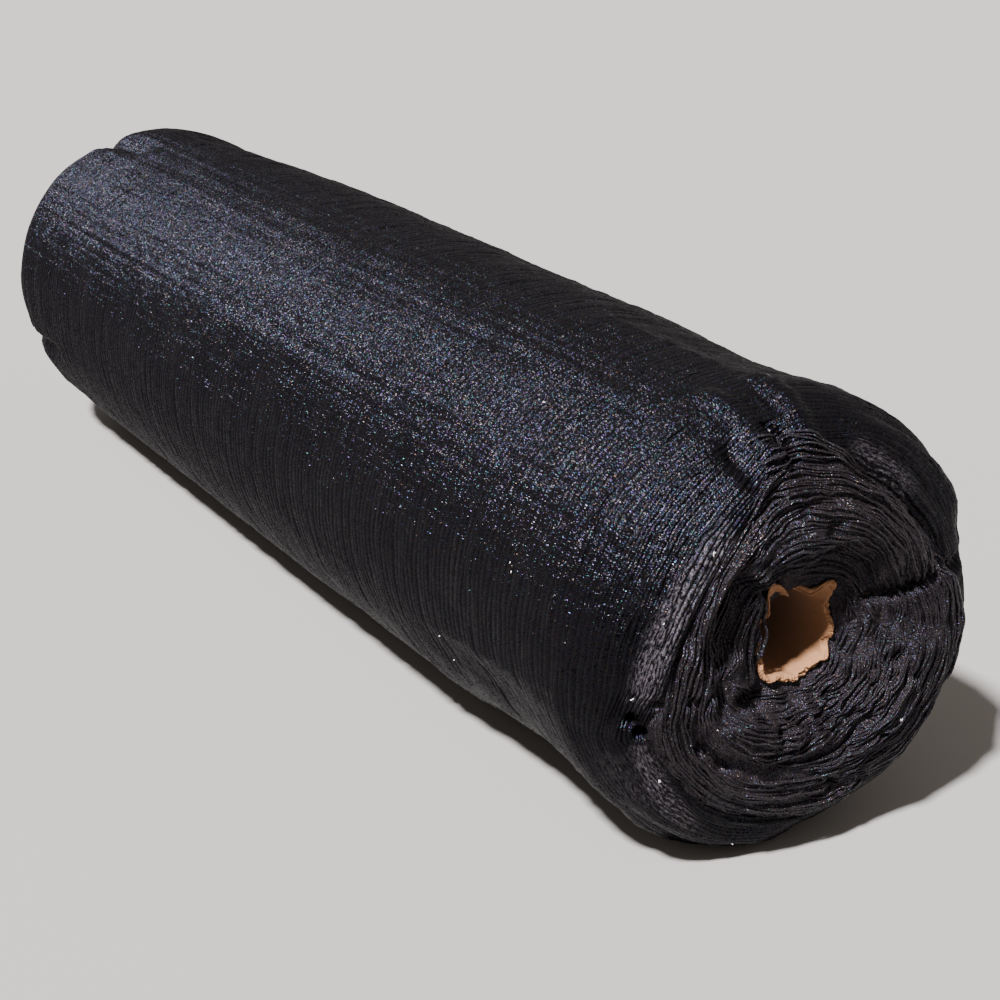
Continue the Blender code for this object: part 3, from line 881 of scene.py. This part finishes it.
class NettingSettings(bpy.types.PropertyGroup):
    """Sizes and colours of the wound net."""
    pitch: FloatProperty(name="Strand pitch", description="Distance between the strands round the body",
                         default=0.0055, min=0.002, max=0.02, unit="LENGTH")
    end_pitch: FloatProperty(name="End pitch", description="Distance between the strands on the ends",
                             default=0.0012, min=0.001, max=0.02, unit="LENGTH")
    height: FloatProperty(name="Strand height", description="How far the body's strands stand up",
                          default=0.0026, min=0, max=0.01, unit="LENGTH")
    thickness: FloatProperty(name="Strand radius", description="Radius of the strands on the ends",
                             default=0.00078, min=0.0002, max=0.01, unit="LENGTH")
    wander: FloatProperty(name="Wander", description="How far a strand strays from its place",
                          default=0.0015, min=0, max=0.01, unit="LENGTH")
    crossing: FloatProperty(name="Crossing", description="How many of its neighbours a strand crosses",
                            default=1.3, min=0, max=10)
    strays: IntProperty(name="Strays", description="Number of loose threads",
                        default=70, min=1, max=500)
    seed: IntProperty(name="Seed", description="Seed of all that is uneven", default=11)
    colour: FloatVectorProperty(name="Net colour", description="Colour of the net, as sRGB",
                                subtype="COLOR_GAMMA", default=(0.046, 0.037, 0.034), min=0, max=1)


class CoreSettings(bpy.types.PropertyGroup):
    """Sizes and colours of the card core."""
    ragged: FloatProperty(name="Raggedness", description="Height of the fine tears in the rim",
                          default=0.0014, min=0, max=0.01, unit="LENGTH")
    colour: FloatVectorProperty(name="Card colour", description="Colour of the card, as sRGB",
                                subtype="COLOR_GAMMA", default=(0.447, 0.308, 0.204), min=0, max=1)


class StageSettings(bpy.types.PropertyGroup):
    """The floor and the lights."""
    key_strength: FloatProperty(name="Key strength", description="Strength of the key light",
                                default=24.0, min=0)
    softness: FloatProperty(name="Softness", description="How wide the key light looks from the roll",
                            default=radians(5), min=0, max=radians(60), unit="ROTATION")
    surround: FloatProperty(name="Surround", description="Strength of the even light all round",
                            default=0.62, min=0)
    floor_colour: FloatVectorProperty(name="Floor colour", description="Colour of the floor, as sRGB",
                                      subtype="COLOR_GAMMA", default=(0.474, 0.453, 0.431),
                                      min=0, max=1)


def dress(piece, slot, *nodes):
    """Hands a finished piece to the frame: its body and the nodes it stands for. The slot is not used."""
    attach(piece, BODY)
    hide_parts(*nodes)


# ---------------------------------------------------------------- the net's outer wraps

STRAND_SHAPE = ((0.2, 0.66), (0.5, 1.0), (0.8, 0.66))        # share across, share of height

# Heights as shares of the settings' strand height: how deep a strand lies in the form, the valley
# between two strands, and the one where two pieces meet, which is shallow so that it doesn't show
SINK = 0.55
VALLEY = -0.6
SEAM_VALLEY = -0.3

# A piece runs on past its edges, in rows each given as a distance, a height and a lift off the
# form. At a lip they go down into its crease. Where two pieces meet, each goes on a little below.
Beyond = namedtuple("Beyond", "away height lift")
TUCKED = [Beyond(0.0009 * step, -0.45, -0.0016 * step) for step in (1, 2, 3, 4)]
OVERLAPPED = [Beyond(0.0009, -0.8, 0.0)]

# The pieces of the wraps: the shares of the strands they start and stop at, and points round
Wrap = namedtuple("Wrap", "name first last columns")
WRAPS = (Wrap("net_wraps_near", 0, 0.26, 340), Wrap("net_wraps_middle", 0.26, 0.58, 260),
         Wrap("net_wraps_far", 0.58, 1, 200))


def strand_edges(form, settings, angles):
    """The runs of the edges between strands, one row of angles for each, lip to lip."""
    near_lip, far_lip = lip_run(form, NEAR, angles), lip_run(form, FAR, angles)
    near_ring, far_ring = form.run_at(NEAR, RING_REACH), form.run_at(FAR, RING_REACH)
    body_count = round((far_ring - near_ring) / settings.pitch)
    # The strands crowd together towards the near lip, and stray less close to both lips.
    edges = [near_lip + (near_ring - near_lip) * share * (0.62 + 0.38 * share)
             for share in np.linspace(0, 1, SHOULDER_STRANDS[NEAR], endpoint=False)]
    edges += [np.full(len(angles), run)
              for run in np.linspace(near_ring, far_ring, body_count, endpoint=False)]
    edges += [far_ring + (far_lip - far_ring) * share
              for share in np.linspace(0, 1, SHOULDER_STRANDS[FAR] + 1)]
    edges = np.stack(edges)
    index = np.arange(len(edges))[:, None]
    turn = angles[None] / (2 * pi)
    slow = smooth_noise(index / 6, turn * 16, settings.seed, cells=16)
    middling = smooth_noise(index / 2.2, turn * 32, settings.seed + 1, cells=32)
    quick = smooth_noise(index * 0.77, turn * 64, settings.seed + 2, cells=64)
    wander = settings.wander * (0.8 * slow + 0.7 * middling + 0.5 * quick)
    hold = np.clip(np.minimum(index, len(edges) - 1 - index) / 3, 0, 1)
    edges = edges + wander * hold
    least = 0.22 * settings.pitch
    for row in range(1, len(edges)):
        edges[row] = np.maximum(edges[row], edges[row - 1] + least)
    return edges


def strand_rows(settings, edges, angles, start, stop):
    """Rows of points over the strands between two edges: the runs, heights and lifts of each."""
    level = np.zeros(len(angles))
    index = np.arange(start, stop)[:, None]
    turn = angles[None] / (2 * pi)
    vigour = 1 + 0.3 * smooth_noise(index * 0.9, turn * 32, settings.seed + 3, 32)
    vigour = vigour * (1.1 - 0.42 * index / len(edges))
    between = np.arange(start, stop + 1)[:, None]
    valley = 0.3 * smooth_noise(between * 0.83, turn * 64, settings.seed + 4) + VALLEY
    at_lips = (start == 0, stop == len(edges) - 1)
    for row, at_lip in zip((0, -1), at_lips):
        if not at_lip:
            valley[row] = SEAM_VALLEY
    rows = []
    for strand in range(start, stop):
        low, high = edges[strand], edges[strand + 1]
        breadth = np.clip(((high - low) / settings.pitch) ** 0.6, 0.3, 1.15)
        rows.append((low, valley[strand - start], level))
        for share, height in STRAND_SHAPE:
            raised = height * breadth * vigour[strand - start] - SINK
            rows.append((low + share * (high - low), raised, level))
    rows.append((edges[stop], valley[stop - start], level))
    for side, edge, at_lip in zip((-1, 1), (edges[start], edges[stop]), at_lips):
        for beyond in TUCKED if at_lip else OVERLAPPED:
            row = (edge + side * beyond.away, level + beyond.height, level + beyond.lift)
            rows.insert(0 if side < 0 else len(rows), row)
    return rows


def build_wraps(settings, form, finish):
    """The strands that run round the roll, from lip to lip, in three pieces."""
    tree = wrap_tree()
    pieces = []
    # A grain of 190 varies the strands every 5 mm.
    values = {"Strand height": settings.height, "Unevenness": 1.0, "Grain": 190.0, "Finish": finish}
    for name, first, last, columns in WRAPS:
        angles = np.linspace(0, 2 * pi, columns, endpoint=False)
        edges = strand_edges(form, settings, angles)
        start, stop = (round(share * (len(edges) - 1)) for share in (first, last))
        rows = strand_rows(settings, edges, angles, start, stop)
        runs, heights, lifts = (np.stack(part) for part in zip(*rows))
        grid = form.place(angles[None], runs, lifts)
        # The painted sheen: the share by which the net's colour is painted pale grey
        painted_sheen = form.painted_sheen_at(angles[None], runs)
        mesh = grid_mesh(name, grid, attributes={"crest": heights, "painted_sheen": painted_sheen}, runs=runs)
        pieces.append(run_tree(new_object(name, mesh), tree, values, name))
    return pieces


# ---------------------------------------------------------------- the net's gathered ends

# The bed of net behind the strands of an end
BED_ROWS, BED_COLUMNS = 44, 220
BED_DEPTH, BED_SWELL = 0.0008, 0.0006
BED_PAST_LIP = 0.012         # how far it goes on past the lip
BED_DIP = 0.004              # and how far it has sunk by there

# The strands of the ends. The first three are the sizes of the wide and narrow swells in which
# neighbours sway together, in which a strand strays on its own, and in which both rise and fall.
SWAY_SIZES = (0.017, 0.0065)
STRAY_SIZES = (0.013, 0.006)
LIFT_SIZES = (0.012, 0.006)
BUNDLE_STRANDS, BUNDLE_LENGTH = 2.3, 0.045
PATH_STEPS = 80
UNEVEN_STEPS = 3             # how many steps of its path a strand may start late or stop early
LOOSE_SHARE = 0.15           # share of the strands that lie loose
LOOSENESS = 1.7              # how much further those stray
BUNDLE_RISE = 0.0022         # how far bundles of strands stand out from one another
TIP_DEPTH, TIP_LENGTH = 0.0025, 0.005        # a strand's tips dip out of sight
RIM_GAP = 0.0015             # closer to the bore's edge than this, a strand leaves the net
RIM_SLOPE, RIM_RISE = 1.2, 0.0035            # how steeply it stands out there, and how far at most

# Loose threads over the near end and the body
STRAY_RADIUS = 0.00028
STRAY_STEP = 0.003           # the distance between the points along one
STRAY_LIFT, STRAY_BOW = 0.0007, 0.0006       # how high its ends lie, and how much higher its middle
LINT_RADIUS = 0.00025


def build_bed(settings, form, end, finish):
    """The net behind an end's strands, a little below them, from the bore to past the lip."""
    angles = np.linspace(0, 2 * pi, BED_COLUMNS, endpoint=False)
    lip = np.abs(lip_run(form, end, angles) - form.run_at(end, NET_BORE_RADIUS))
    shares = np.linspace(0, 1, BED_ROWS)[:, None]
    runs = shares * (lip + BED_PAST_LIP)
    swell = smooth_noise(shares * 30, angles / (2 * pi) * 64, settings.seed + 5)
    lift = -BED_DEPTH - BED_SWELL * swell - BED_DIP * np.clip((shares - 0.9) / 0.1, 0, 1)
    if end is FAR:
        runs = form.total - runs
    grid = form.place(angles[None], runs, lift)
    grid = grid if end is NEAR else grid[::-1]
    name = "net_bed_near" if end is NEAR else "net_bed_far"
    piece = new_object(name, grid_mesh(name, grid, runs=runs))
    piece.data.materials.append(finish)
    return piece


def sheaf_paths(sheaf, settings, rng):
    """Flat paths of a sheaf's strands, as seen along the axis. They start and stop unevenly, and
    each crosses a few of its neighbours."""
    share = np.linspace(0, 1, PATH_STEPS)
    lines = []
    for line in (sheaf.inner, sheaf.outer):
        angle = np.radians(smooth_through(line.angles, share))
        reach = smooth_through(line.reaches, share) * MILLIMETRE
        lines.append(np.stack([reach * np.cos(angle), reach * np.sin(angle)], axis=1))
    inner, outer = lines
    breadth = np.mean(np.linalg.norm(outer - inner, axis=1))
    count = max(2, round(breadth / settings.end_pitch) + 1)
    for place in np.linspace(0, 1, count):
        drift = rng.normal(0, settings.crossing / count, 3)
        spot = np.clip(place + through_three(*drift, share), -0.5 / count, 1 + 0.5 / count)[:, None]
        first = round(rng.uniform(0, UNEVEN_STEPS))
        last = round(rng.uniform(PATH_STEPS - UNEVEN_STEPS, PATH_STEPS))
        yield place * count, (inner + (outer - inner) * spot)[first:last]


def resampled(path, step):
    """A planar path cut into even steps, and how far along it each one is."""
    lengths = np.linalg.norm(np.diff(path, axis=0), axis=1)
    run = np.concatenate([[0], np.cumsum(lengths)])
    count = max(4, round(run[-1] / step) + 1)
    places = np.linspace(0, run[-1], count)
    return np.stack([np.interp(places, run, path[:, axis]) for axis in (0, 1)], axis=1), places


def plane_noise(points, size, seed):
    """Smooth noise at places in the plane of an end, in swells of a size."""
    spots = points / size + 9
    return smooth_noise(spots[:, 0], spots[:, 1], seed)


def strayed(points, places, own, looseness, sheaf, wander, seed):
    """A strand's path, swayed with its neighbours' and strayed on its own."""
    wide, narrow = SWAY_SIZES
    sway = np.stack([plane_noise(points, wide, seed + axis)
                     + 0.4 * plane_noise(points, narrow, seed + 5 + axis) for axis in (0, 1)], axis=1)
    wide, narrow = STRAY_SIZES
    stray = (smooth_noise(own, places / wide, seed + 11)
             + 0.3 * smooth_noise(own, places / narrow, seed + 13))
    across = np.gradient(points, axis=0)[:, ::-1] * (1, -1)
    across /= np.maximum(np.linalg.norm(across, axis=1, keepdims=True), 1e-12)
    alone = looseness * (0.2 + 0.2 * sheaf.unrest) * stray[:, None] * across
    return points + wander * (0.8 * sheaf.unrest * sway + alone)


def strand_lift(points, places, own, rank, sheaf, seed, bundle_seed):
    """How far a strand rises and falls, on its own, with its neighbours and with its bundle. Its
    tips dip out of sight."""
    wide, narrow = LIFT_SIZES
    alone = 0.7 * smooth_noise(own + 3, places / wide, seed + 12)
    together = sheaf.unrest * (0.8 * plane_noise(points, wide, seed + 14)
                               + 0.6 * plane_noise(points, narrow, seed + 15))
    turns = places * (0.4 + sheaf.unrest) / BUNDLE_LENGTH
    bundle = smooth_noise(rank / BUNDLE_STRANDS, turns, bundle_seed)
    tips = np.minimum(places, places[-1] - places)
    dip = np.square(np.clip(1 - tips / TIP_LENGTH, 0, 1))
    return MILLIMETRE * (alone + together) + BUNDLE_RISE * bundle - TIP_DEPTH * dip


def draped(form, end, points, lift):
    """A flat path laid on an end. Over the core's rim it keeps its way and stands further out."""
    angle = np.arctan2(points[:, 1], points[:, 0])
    reach = np.hypot(points[:, 0], points[:, 1])
    inside = np.maximum(NET_BORE_RADIUS + RIM_GAP - reach, 0)
    laid = form.place(angle, form.run_at(end, reach + inside), lift)
    laid[:, 0] += end.facing * np.minimum(RIM_SLOPE * inside, RIM_RISE)
    laid[:, 1] -= inside * np.cos(angle)
    laid[:, 2] -= inside * np.sin(angle)
    return laid


def end_strands(settings, form, piece, seed):
    """Every strand of a piece's sheaves, draped on the form, with its thickness."""
    rng = np.random.default_rng(seed)
    noise_seed = settings.seed + 20
    strands = []
    for name in piece.sheaves:
        sheaf = SHEAVES[name]
        bundle_seed = noise_seed + len(name)
        for rank, path in sheaf_paths(sheaf, settings, rng):
            points, places = resampled(path, piece.step)
            own = rng.uniform(0, 60)
            looseness = LOOSENESS if rng.random() < LOOSE_SHARE else 1.0
            raised = (rng.uniform(-0.7, 0.7) + looseness - 1) * MILLIMETRE
            points = strayed(points, places, own, looseness, sheaf, settings.wander, noise_seed)
            lift = raised + strand_lift(points, places, own, rank, sheaf, noise_seed, bundle_seed)
            strands.append((draped(form, sheaf.end, points, lift), rng.uniform(0.75, 1.15)))
    return strands


def build_ends(settings, form, finish):
    """The gathered strands of both ends."""
    tree, pieces = strand_tree(), []
    values = {"Thickness": settings.thickness, "Sides": 5, "Unevenness": 0.7, "Grain": 160.0,
              "Finish": finish}
    for number, (name, piece) in enumerate(END_PIECES.items()):
        strands = end_strands(settings, form, piece, settings.seed + 7 + number)
        pieces.append(run_tree(strand_curve(name, strands), tree, values, name))
    return pieces


def build_strays(settings, form, finish):
    """Loose threads that lie over the near end and the body, two on the end to one on the body."""
    rng = np.random.default_rng(settings.seed + 40)
    strands = []
    for stray in range(settings.strays):
        on_end = stray % 3 != 0
        length = rng.uniform(0.02, 0.07)
        along = np.linspace(0, 1, round(length / STRAY_STEP))
        angle = rng.uniform(0, 2 * pi)
        run = rng.uniform(0.02, 0.15) if on_end else rng.uniform(0.15, 1.0)
        radius = 0.09 if on_end else BODY_RADIUS
        bend = rng.uniform(-1, 1, 3)
        angles = angle + length / radius * (along + 0.2 * bend[0] * np.sin(along * 7))
        runs = run + length * 0.35 * (bend[1] * along + 0.3 * bend[2] * np.sin(along * 5))
        lift = STRAY_LIFT + STRAY_BOW * np.sin(along * pi) * rng.uniform(0.2, 1)
        lift = lift - 0.002 * (np.abs(along - 0.5) > 0.46)        # its tips are tucked in
        strands.append((form.place(angles, np.maximum(runs, 0.01), lift), 1.0))
    values = {"Thickness": STRAY_RADIUS, "Sides": 4, "Unevenness": 0.0, "Grain": 1.0,
              "Finish": finish}
    return run_tree(strand_curve("net_strays", strands), strand_tree(), values, "net_strays")


def build_lint(settings, form, finish):
    """Pale flecks of lint caught in the net, each a short curl of fluff."""
    rng = np.random.default_rng(settings.seed + 50)
    curls = []
    for place in range(LINT):
        angle, reach = rng.uniform(95, 345), rng.uniform(45, 300)
        turn = np.linspace(0, rng.uniform(3, 7), 7)
        size = rng.uniform(0.0002, 0.0006)
        if place < len(LINT_PLACES):
            (angle, reach), size = LINT_PLACES[place], LINT_SIZE
        middle = form.place(radians(angle), form.run_at(NEAR, reach * MILLIMETRE), 0.0018)
        spread = rng.normal(0, 1, (3, 3))
        curl = np.stack([np.sin(turn), np.cos(turn * 0.8), turn * 0.3], axis=1) @ spread
        curls.append((middle + size * curl, 1.0))
    values = {"Thickness": LINT_RADIUS, "Sides": 4, "Unevenness": 0.6, "Grain": 900.0,
              "Finish": finish}
    return run_tree(strand_curve("lint", curls), strand_tree(), values, "lint")


# ---------------------------------------------------------------- the core

# Rows of a torn wall: the share of the way from where it bends to its rim, and how torn it is
WALL_ROWS = ((0.0, 0.0), (0.3, 0.0), (0.55, 0.0), (0.75, 0.2), (0.9, 0.6), (1.0, 1.0))
CORE_COLUMNS = 400


def torn_rim(angles, end, ply, seed, ragged):
    """How far one ply of the card stands out at its rim, and how far it bends outward, in metres."""
    height, flare = np.zeros_like(angles), np.zeros_like(angles)
    for tear in TEARS[end]:
        away = np.abs((np.degrees(angles) - tear.angle + 180) % 360 - 180) / tear.half_width
        close = np.clip(1 - away, 0, 1)
        share = np.square(close) * (3 - 2 * close)
        height += tear.height * MILLIMETRE * share
        flare += tear.flare * MILLIMETRE * share
    turn = angles / (2 * pi)
    coarse = smooth_noise(ply * 0.7, turn * 14, seed, 14)
    fine = smooth_noise(ply + 0.5, turn * 46, seed + 1, 46)
    finest = np.abs(smooth_noise(ply + 0.5, turn * 130, seed + 2, 130))
    height = height + ragged * (1.1 * coarse + 0.8 * fine - 1.2 * finest)
    return height, flare * (1 + 0.25 * coarse) + 0.3 * MILLIMETRE * fine


def ring_of_points(angles, along, radius):
    """Points round the core's axis, at places along it and distances from it."""
    along = along + np.zeros_like(angles)
    return np.stack([along, radius * np.cos(angles), AXIS_HEIGHT + radius * np.sin(angles)], axis=-1)


def core_wall_rows(angles, end, radius, rim):
    """Rows of points along one wall of the card, from where it starts to bend to its rim."""
    height, flare = rim
    rows = []
    for share, _ in WALL_ROWS:
        out = -TEAR_LENGTH + share * (TEAR_LENGTH + height)
        along = MIDDLE + end.facing * (ROLL_LENGTH / 2 - CORE_SET_BACK + out)
        rows.append(ring_of_points(angles, along, radius + flare * share ** 2))
    return rows


def core_end_rows(settings, seed, end, angles):
    """Rows over a torn end of the tube, from its outer wall over the plies to its inner wall, and
    how torn each one is."""
    rims = [torn_rim(angles, end, ply, seed, settings.ragged) for ply in range(PLIES)]
    outer = core_wall_rows(angles, end, CORE_RADIUS, rims[0])[:-1]
    inner = core_wall_rows(angles, end, CORE_BORE_RADIUS, rims[-1])[:-1]
    edges = []
    for ply in range(PLIES):
        for edge in (0, 1):
            radius = CORE_RADIUS - (ply + edge) * CORE_WALL / PLIES
            edges.append(core_wall_rows(angles, end, radius, rims[ply])[-1])
    wall_torn = [torn for _, torn in WALL_ROWS[:-1]]
    return outer + edges + inner[::-1], wall_torn + [1.0] * len(edges) + wall_torn[::-1]


def build_core(settings, seed, finish):
    """The card tube: two walls and two torn rims of several plies."""
    angles = np.linspace(0, 2 * pi, CORE_COLUMNS, endpoint=False)
    near, near_torn = core_end_rows(settings, seed, NEAR, angles)
    far, far_torn = core_end_rows(settings, seed + 9, FAR, angles)
    places = (ROLL_LENGTH / 4, 0, -ROLL_LENGTH / 4)
    inner = [ring_of_points(angles, MIDDLE + place, CORE_BORE_RADIUS) for place in places]
    outer = [ring_of_points(angles, MIDDLE - place, CORE_RADIUS) for place in places]
    rows = near + inner + far[::-1] + outer
    torn = near_torn + [0.0] * len(inner) + far_torn[::-1] + [0.0] * len(outer)
    torn = np.array(torn)[:, None] * np.ones(CORE_COLUMNS)
    mesh = grid_mesh("card_core", np.stack(rows), close_rows=True, attributes={"torn": torn})
    mesh.materials.append(finish)
    return new_object("card_core", mesh)


# ---------------------------------------------------------------- operators

class Workshop:
    """What the operators share while a roll is built: its form and finishes."""
    form = None
    finishes = {}

    @classmethod
    def wound_form(cls):
        """The wound form, worked out once."""
        if cls.form is None:
            cls.form = WoundForm()
        return cls.form

    @classmethod
    def finish(cls, key, make):
        """A material, made once."""
        if key not in cls.finishes:
            cls.finishes[key] = make()
        return cls.finishes[key]


def net_finish(context, knit):
    """The net's material in the settings' colour, wound tight or lying loose."""
    colour = hex_of(context.scene.netting_roll.colour)
    return Workshop.finish(knit, lambda: knitted_net(colour, knit))


class NETTING_OT_wraps(bpy.types.Operator):
    """Winds the strands that run round the roll"""
    bl_idname = "netting.wraps"
    bl_label = "Outer wraps"

    def execute(self, context):
        finish = net_finish(context, TIGHT)
        for piece in build_wraps(context.scene.netting_roll, Workshop.wound_form(), finish):
            dress(piece, "netting", "netting_roll")
        return {"FINISHED"}


class NETTING_OT_ends(bpy.types.Operator):
    """Gathers the strands of both ends over their beds"""
    bl_idname = "netting.ends"
    bl_label = "Gathered ends"

    def execute(self, context):
        settings, form = context.scene.netting_roll, Workshop.wound_form()
        finish = net_finish(context, LOOSE)
        pieces = [build_bed(settings, form, end, finish) for end in (NEAR, FAR)]
        for piece in pieces + build_ends(settings, form, finish):
            dress(piece, "netting", "netting_roll")
        return {"FINISHED"}


class NETTING_OT_strays(bpy.types.Operator):
    """Lays loose threads over the roll"""
    bl_idname = "netting.strays"
    bl_label = "Loose threads"

    def execute(self, context):
        finish = net_finish(context, TIGHT)
        piece = build_strays(context.scene.netting_roll, Workshop.wound_form(), finish)
        dress(piece, "netting", "netting_roll")
        return {"FINISHED"}


class NETTING_OT_lint(bpy.types.Operator):
    """Scatters flecks of lint over the near half of the roll"""
    bl_idname = "netting.lint"
    bl_label = "Lint"

    def execute(self, context):
        finish = Workshop.finish("lint", lambda: plain_matt("Cotton lint", LINT_COLOUR, 0.95))
        piece = build_lint(context.scene.netting_roll, Workshop.wound_form(), finish)
        dress(piece, "netting", "netting_roll")
        return {"FINISHED"}


class NETTING_OT_core(bpy.types.Operator):
    """Makes the torn card core"""
    bl_idname = "netting.core"
    bl_label = "Card core"

    def execute(self, context):
        settings = context.scene.netting_core
        colour = hex_of(settings.colour)
        finish = Workshop.finish("card", lambda: kraft_card(colour))
        piece = build_core(settings, context.scene.netting_roll.seed + 60, finish)
        dress(piece, "core_card", "core_tube")
        return {"FINISHED"}


FLOOR_SIZE = 40.0
KEY_WAY = Vector((0.30, -0.53, 0.80))        # from the roll towards the key light
KEY_COLOUR = (0.94, 0.97, 1.05)
SURROUND_COLOUR = (1.03, 0.98, 0.96, 1)


def aim(item, place, target):
    """Puts a light at a place, turned to a target."""
    item.location = place
    item.rotation_euler = (Vector(target) - Vector(place)).to_track_quat("-Z", "Y").to_euler()


def floor_mesh(size):
    """A square floor under the roll."""
    mesh = bpy.data.meshes.new("studio_floor")
    mesh.from_pydata([(x * size / 2, y * size / 2, 0) for x, y in ((-1, -1), (1, -1), (1, 1), (-1, 1))],
                     [], [(0, 1, 2, 3)])
    return mesh


def build_camera():
    """The camera, aimed as a stand beside the near end would aim it."""
    azimuth, elevation = CAMERA_AZIMUTH, CAMERA_ELEVATION
    back = Vector((sin(azimuth) * cos(elevation), -cos(azimuth) * cos(elevation), sin(elevation)))
    right = (-back).cross(Vector((0, 0, 1))).normalized()
    up = right.cross(-back)
    forward = (-back * cos(CAMERA_YAW) * cos(CAMERA_PITCH) + right * sin(CAMERA_YAW) * cos(CAMERA_PITCH)
               + up * sin(CAMERA_PITCH)).normalized()
    side = forward.cross(Vector((0, 0, 1))).normalized()
    top = side.cross(forward)
    data = bpy.data.cameras.new("Camera")
    data.sensor_width = SENSOR_WIDTH
    data.lens = FOCAL_PIXELS * SENSOR_WIDTH / IMAGE_PIXELS
    camera = new_object("Camera", data)
    camera.matrix_world = (Matrix.Translation(CAMERA_CENTRE + back * CAMERA_DISTANCE)
                           @ Matrix((side, top, -forward)).transposed().to_4x4())
    bpy.context.scene.camera = camera


class NETTING_OT_stage(bpy.types.Operator):
    """Sets the pale floor, the soft lights and the camera"""
    bl_idname = "netting.stage"
    bl_label = "Stage"

    def execute(self, context):
        settings = context.scene.netting_stage
        floor = new_object("studio_floor", floor_mesh(FLOOR_SIZE))
        floor.data.materials.append(plain_matt("Painted floor", hex_of(settings.floor_colour), 0.9))
        key = new_object("Key light", bpy.data.lights.new("Key light", "SUN"))
        key.data.energy = settings.key_strength
        key.data.color = KEY_COLOUR
        key.data.angle = settings.softness
        aim(key, CAMERA_CENTRE + 3 * KEY_WAY, CAMERA_CENTRE)
        world = bpy.data.worlds.new("Studio")
        world.use_nodes = True
        background = world.node_tree.nodes["Background"]
        background.inputs["Color"].default_value = SURROUND_COLOUR
        background.inputs["Strength"].default_value = settings.surround
        context.scene.world = world
        build_camera()
        return {"FINISHED"}


class NETTING_PT_panel(bpy.types.Panel):
    """Lists the roll's settings and pieces"""
    bl_idname = "NETTING_PT_panel"
    bl_label = "Bird netting roll"
    bl_space_type = "VIEW_3D"
    bl_region_type = "UI"
    bl_category = "Netting"

    def draw(self, context):
        for group in ("netting_roll", "netting_core", "netting_stage"):
            box = self.layout.box()
            settings = getattr(context.scene, group)
            for name in type(settings).__annotations__:
                box.prop(settings, name)
        for operator in OPERATORS:
            self.layout.operator(operator.bl_idname)


OPERATORS = (NETTING_OT_wraps, NETTING_OT_ends, NETTING_OT_strays, NETTING_OT_lint,
             NETTING_OT_core, NETTING_OT_stage)
CLASSES = (NettingSettings, CoreSettings, StageSettings, *OPERATORS, NETTING_PT_panel)


def register():
    """Registers the classes and the scene's settings."""
    for item in CLASSES:
        bpy.utils.register_class(item)
    bpy.types.Scene.netting_roll = PointerProperty(type=NettingSettings)
    bpy.types.Scene.netting_core = PointerProperty(type=CoreSettings)
    bpy.types.Scene.netting_stage = PointerProperty(type=StageSettings)


def unregister():
    """Removes them again."""
    del bpy.types.Scene.netting_stage
    del bpy.types.Scene.netting_core
    del bpy.types.Scene.netting_roll
    for item in reversed(CLASSES):
        bpy.utils.unregister_class(item)


def main():
    """Builds the roll and its stage."""
    register()
    bpy.ops.netting.stage()
    bpy.ops.netting.wraps()
    bpy.ops.netting.ends()
    bpy.ops.netting.strays()
    bpy.ops.netting.lint()
    bpy.ops.netting.core()


if __name__ == "__main__":
    main()
